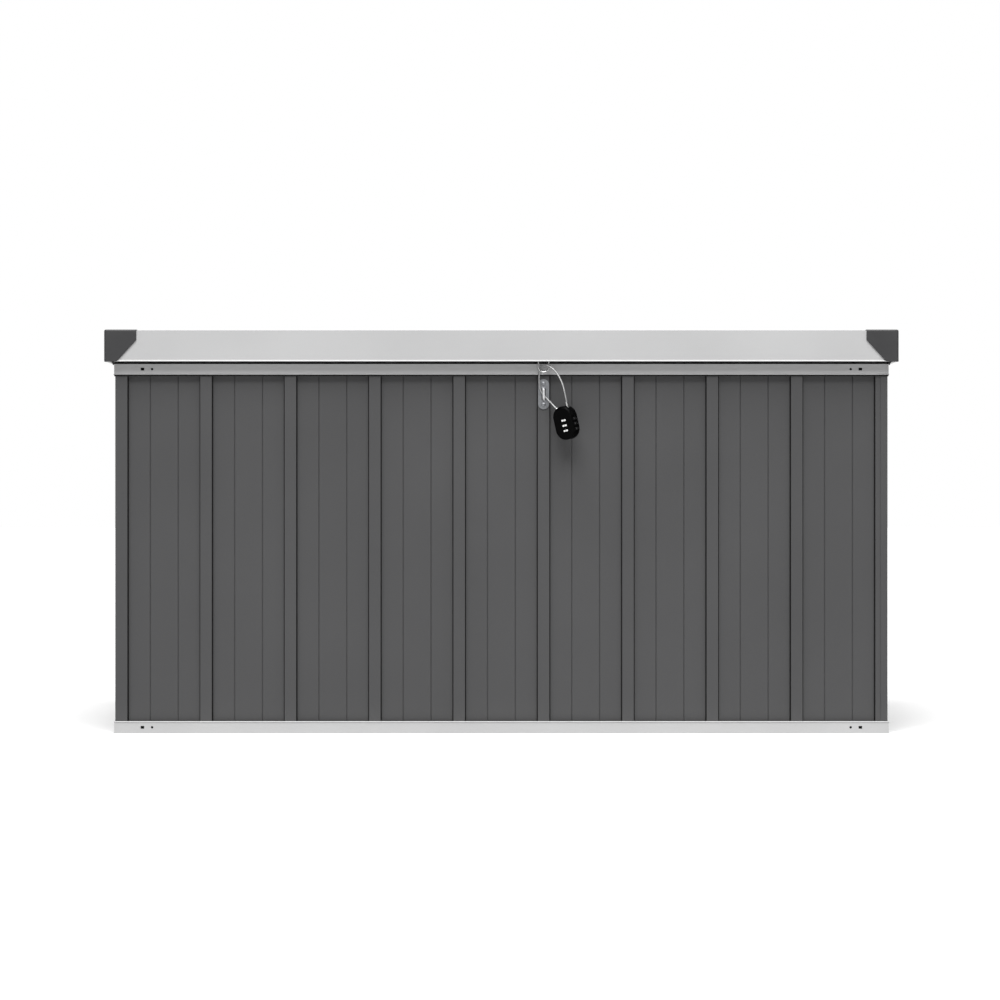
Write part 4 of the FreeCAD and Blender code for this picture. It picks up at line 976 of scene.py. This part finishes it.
class DECKBOX_OT_studio(bpy.types.Operator):
    """Pale floor, white room, soft light and the camera"""

    bl_idname = "deckbox.studio"
    bl_label = "Studio"

    def execute(self, context):
        studio = settings().studio
        scene = context.scene
        scene.view_settings.view_transform = "Standard"
        shape = bmesh.new()
        bmesh.ops.create_circle(shape, cap_ends=True, segments=96, radius=studio.floor_radius)
        mesh = bpy.data.meshes.new("floor")
        shape.to_mesh(mesh)
        shape.free()
        floor = bpy.data.objects.new("floor", mesh)
        scene.collection.objects.link(floor)
        finish = Finish("pale floor", roughness=0.9, specular=0.1)
        grain = finish.pattern("coat grain", scale=40.0, patch=1.0)
        finish.paint(finish.tint(studio.floor, grain["Tone"], darker=0.99, lighter=1.01))
        mesh.materials.append(finish.material)
        self.room(scene, studio)
        self.key_light(scene, studio)
        self.camera(scene, studio)
        return {"FINISHED"}

    def room(self, scene, studio):
        """A white room that is dimmer to the left and right, as with flags beside the box."""
        world = bpy.data.worlds.new("white room")
        world.use_nodes = True
        scene.world = world
        tree = world.node_tree
        background = tree.nodes["Background"]
        direction = tree.nodes.new("ShaderNodeTexCoord").outputs["Generated"]
        aside = add(tree, "ShaderNodeSeparateXYZ", {"Vector": direction})
        amount = work(tree, "POWER", work(tree, "ABSOLUTE", aside.outputs["X"]), studio.falloff)
        level = work(tree, "SUBTRACT", studio.sky, work(tree, "MULTIPLY", amount, studio.sky - studio.side))
        seen = tree.nodes.new("ShaderNodeLightPath").outputs["Is Camera Ray"]
        mix = tree.nodes.new("ShaderNodeMix")
        tree.links.new(seen, mix.inputs["Factor"])
        tree.links.new(level, mix.inputs["A"])
        mix.inputs["B"].default_value = 1.0
        tree.links.new(mix.outputs["Result"], background.inputs["Strength"])
        background.inputs["Color"].default_value = (1, 1, 1, 1)

    def key_light(self, scene, studio):
        """A large soft light in front of the box and above it."""
        light = bpy.data.lights.new("key light", "SUN")
        light.energy = studio.key
        light.angle = studio.key_angle
        lamp = bpy.data.objects.new("key light", light)
        lamp.rotation_euler = Vector(studio.key_from).to_track_quat("Z", "Y").to_euler()
        scene.collection.objects.link(lamp)

    def camera(self, scene, studio):
        """A level camera straight in front. The lid's front is as far from the middle as its back."""
        data = bpy.data.cameras.new("camera")
        data.lens = studio.lens
        data.clip_end = 5 * studio.floor_radius
        eye = bpy.data.objects.new("camera", data)
        lid_front = -CAD_BOX[1][1]
        eye.location = (studio.camera_side, lid_front - studio.camera_distance, studio.camera_height)
        eye.rotation_euler = (math.pi / 2, 0, 0)
        scene.collection.objects.link(eye)
        scene.camera = eye


STEPS = (
    DECKBOX_OT_studio,
    DECKBOX_OT_cable,
    DECKBOX_OT_walls,
    DECKBOX_OT_rails,
    DECKBOX_OT_edging,
    DECKBOX_OT_floor_sheet,
    DECKBOX_OT_caps,
    DECKBOX_OT_fittings,
    DECKBOX_OT_struts,
    DECKBOX_OT_lock,
    DECKBOX_OT_numbers,
)


class DeckBoxSettings(bpy.types.PropertyGroup):
    """All settings of the box."""

    coat: PointerProperty(type=CoatSettings)
    trim: PointerProperty(type=TrimSettings)
    lock: PointerProperty(type=LockSettings)
    cable: PointerProperty(type=CableSettings)
    studio: PointerProperty(type=StudioSettings)


class DECKBOX_PT_panel(bpy.types.Panel):
    """Lists the steps and their settings"""

    bl_idname = "DECKBOX_PT_panel"
    bl_label = "Deck box"
    bl_space_type = "VIEW_3D"
    bl_region_type = "UI"
    bl_category = "Deck box"

    def draw(self, context):
        for step in STEPS:
            self.layout.operator(step.bl_idname)
        for title in ("coat", "trim", "lock", "cable", "studio"):
            box = self.layout.box()
            group = getattr(settings(), title)
            for key in group.bl_rna.properties.keys():
                if key not in ("rna_type", "name"):
                    box.prop(group, key)


CLASSES = (
    CoatSettings,
    TrimSettings,
    LockSettings,
    CableSettings,
    StudioSettings,
    DeckBoxSettings,
    *STEPS,
    DECKBOX_PT_panel,
)


def register():
    for kind in CLASSES:
        bpy.utils.register_class(kind)
    bpy.types.Scene.deck_box = PointerProperty(type=DeckBoxSettings)


def unregister():
    del bpy.types.Scene.deck_box
    for kind in reversed(CLASSES):
        bpy.utils.unregister_class(kind)


def main():
    """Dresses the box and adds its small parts."""
    register()
    for step in STEPS:
        group, name = step.bl_idname.split(".")
        getattr(getattr(bpy.ops, group), name)()


if __name__ == "__main__":
    main()
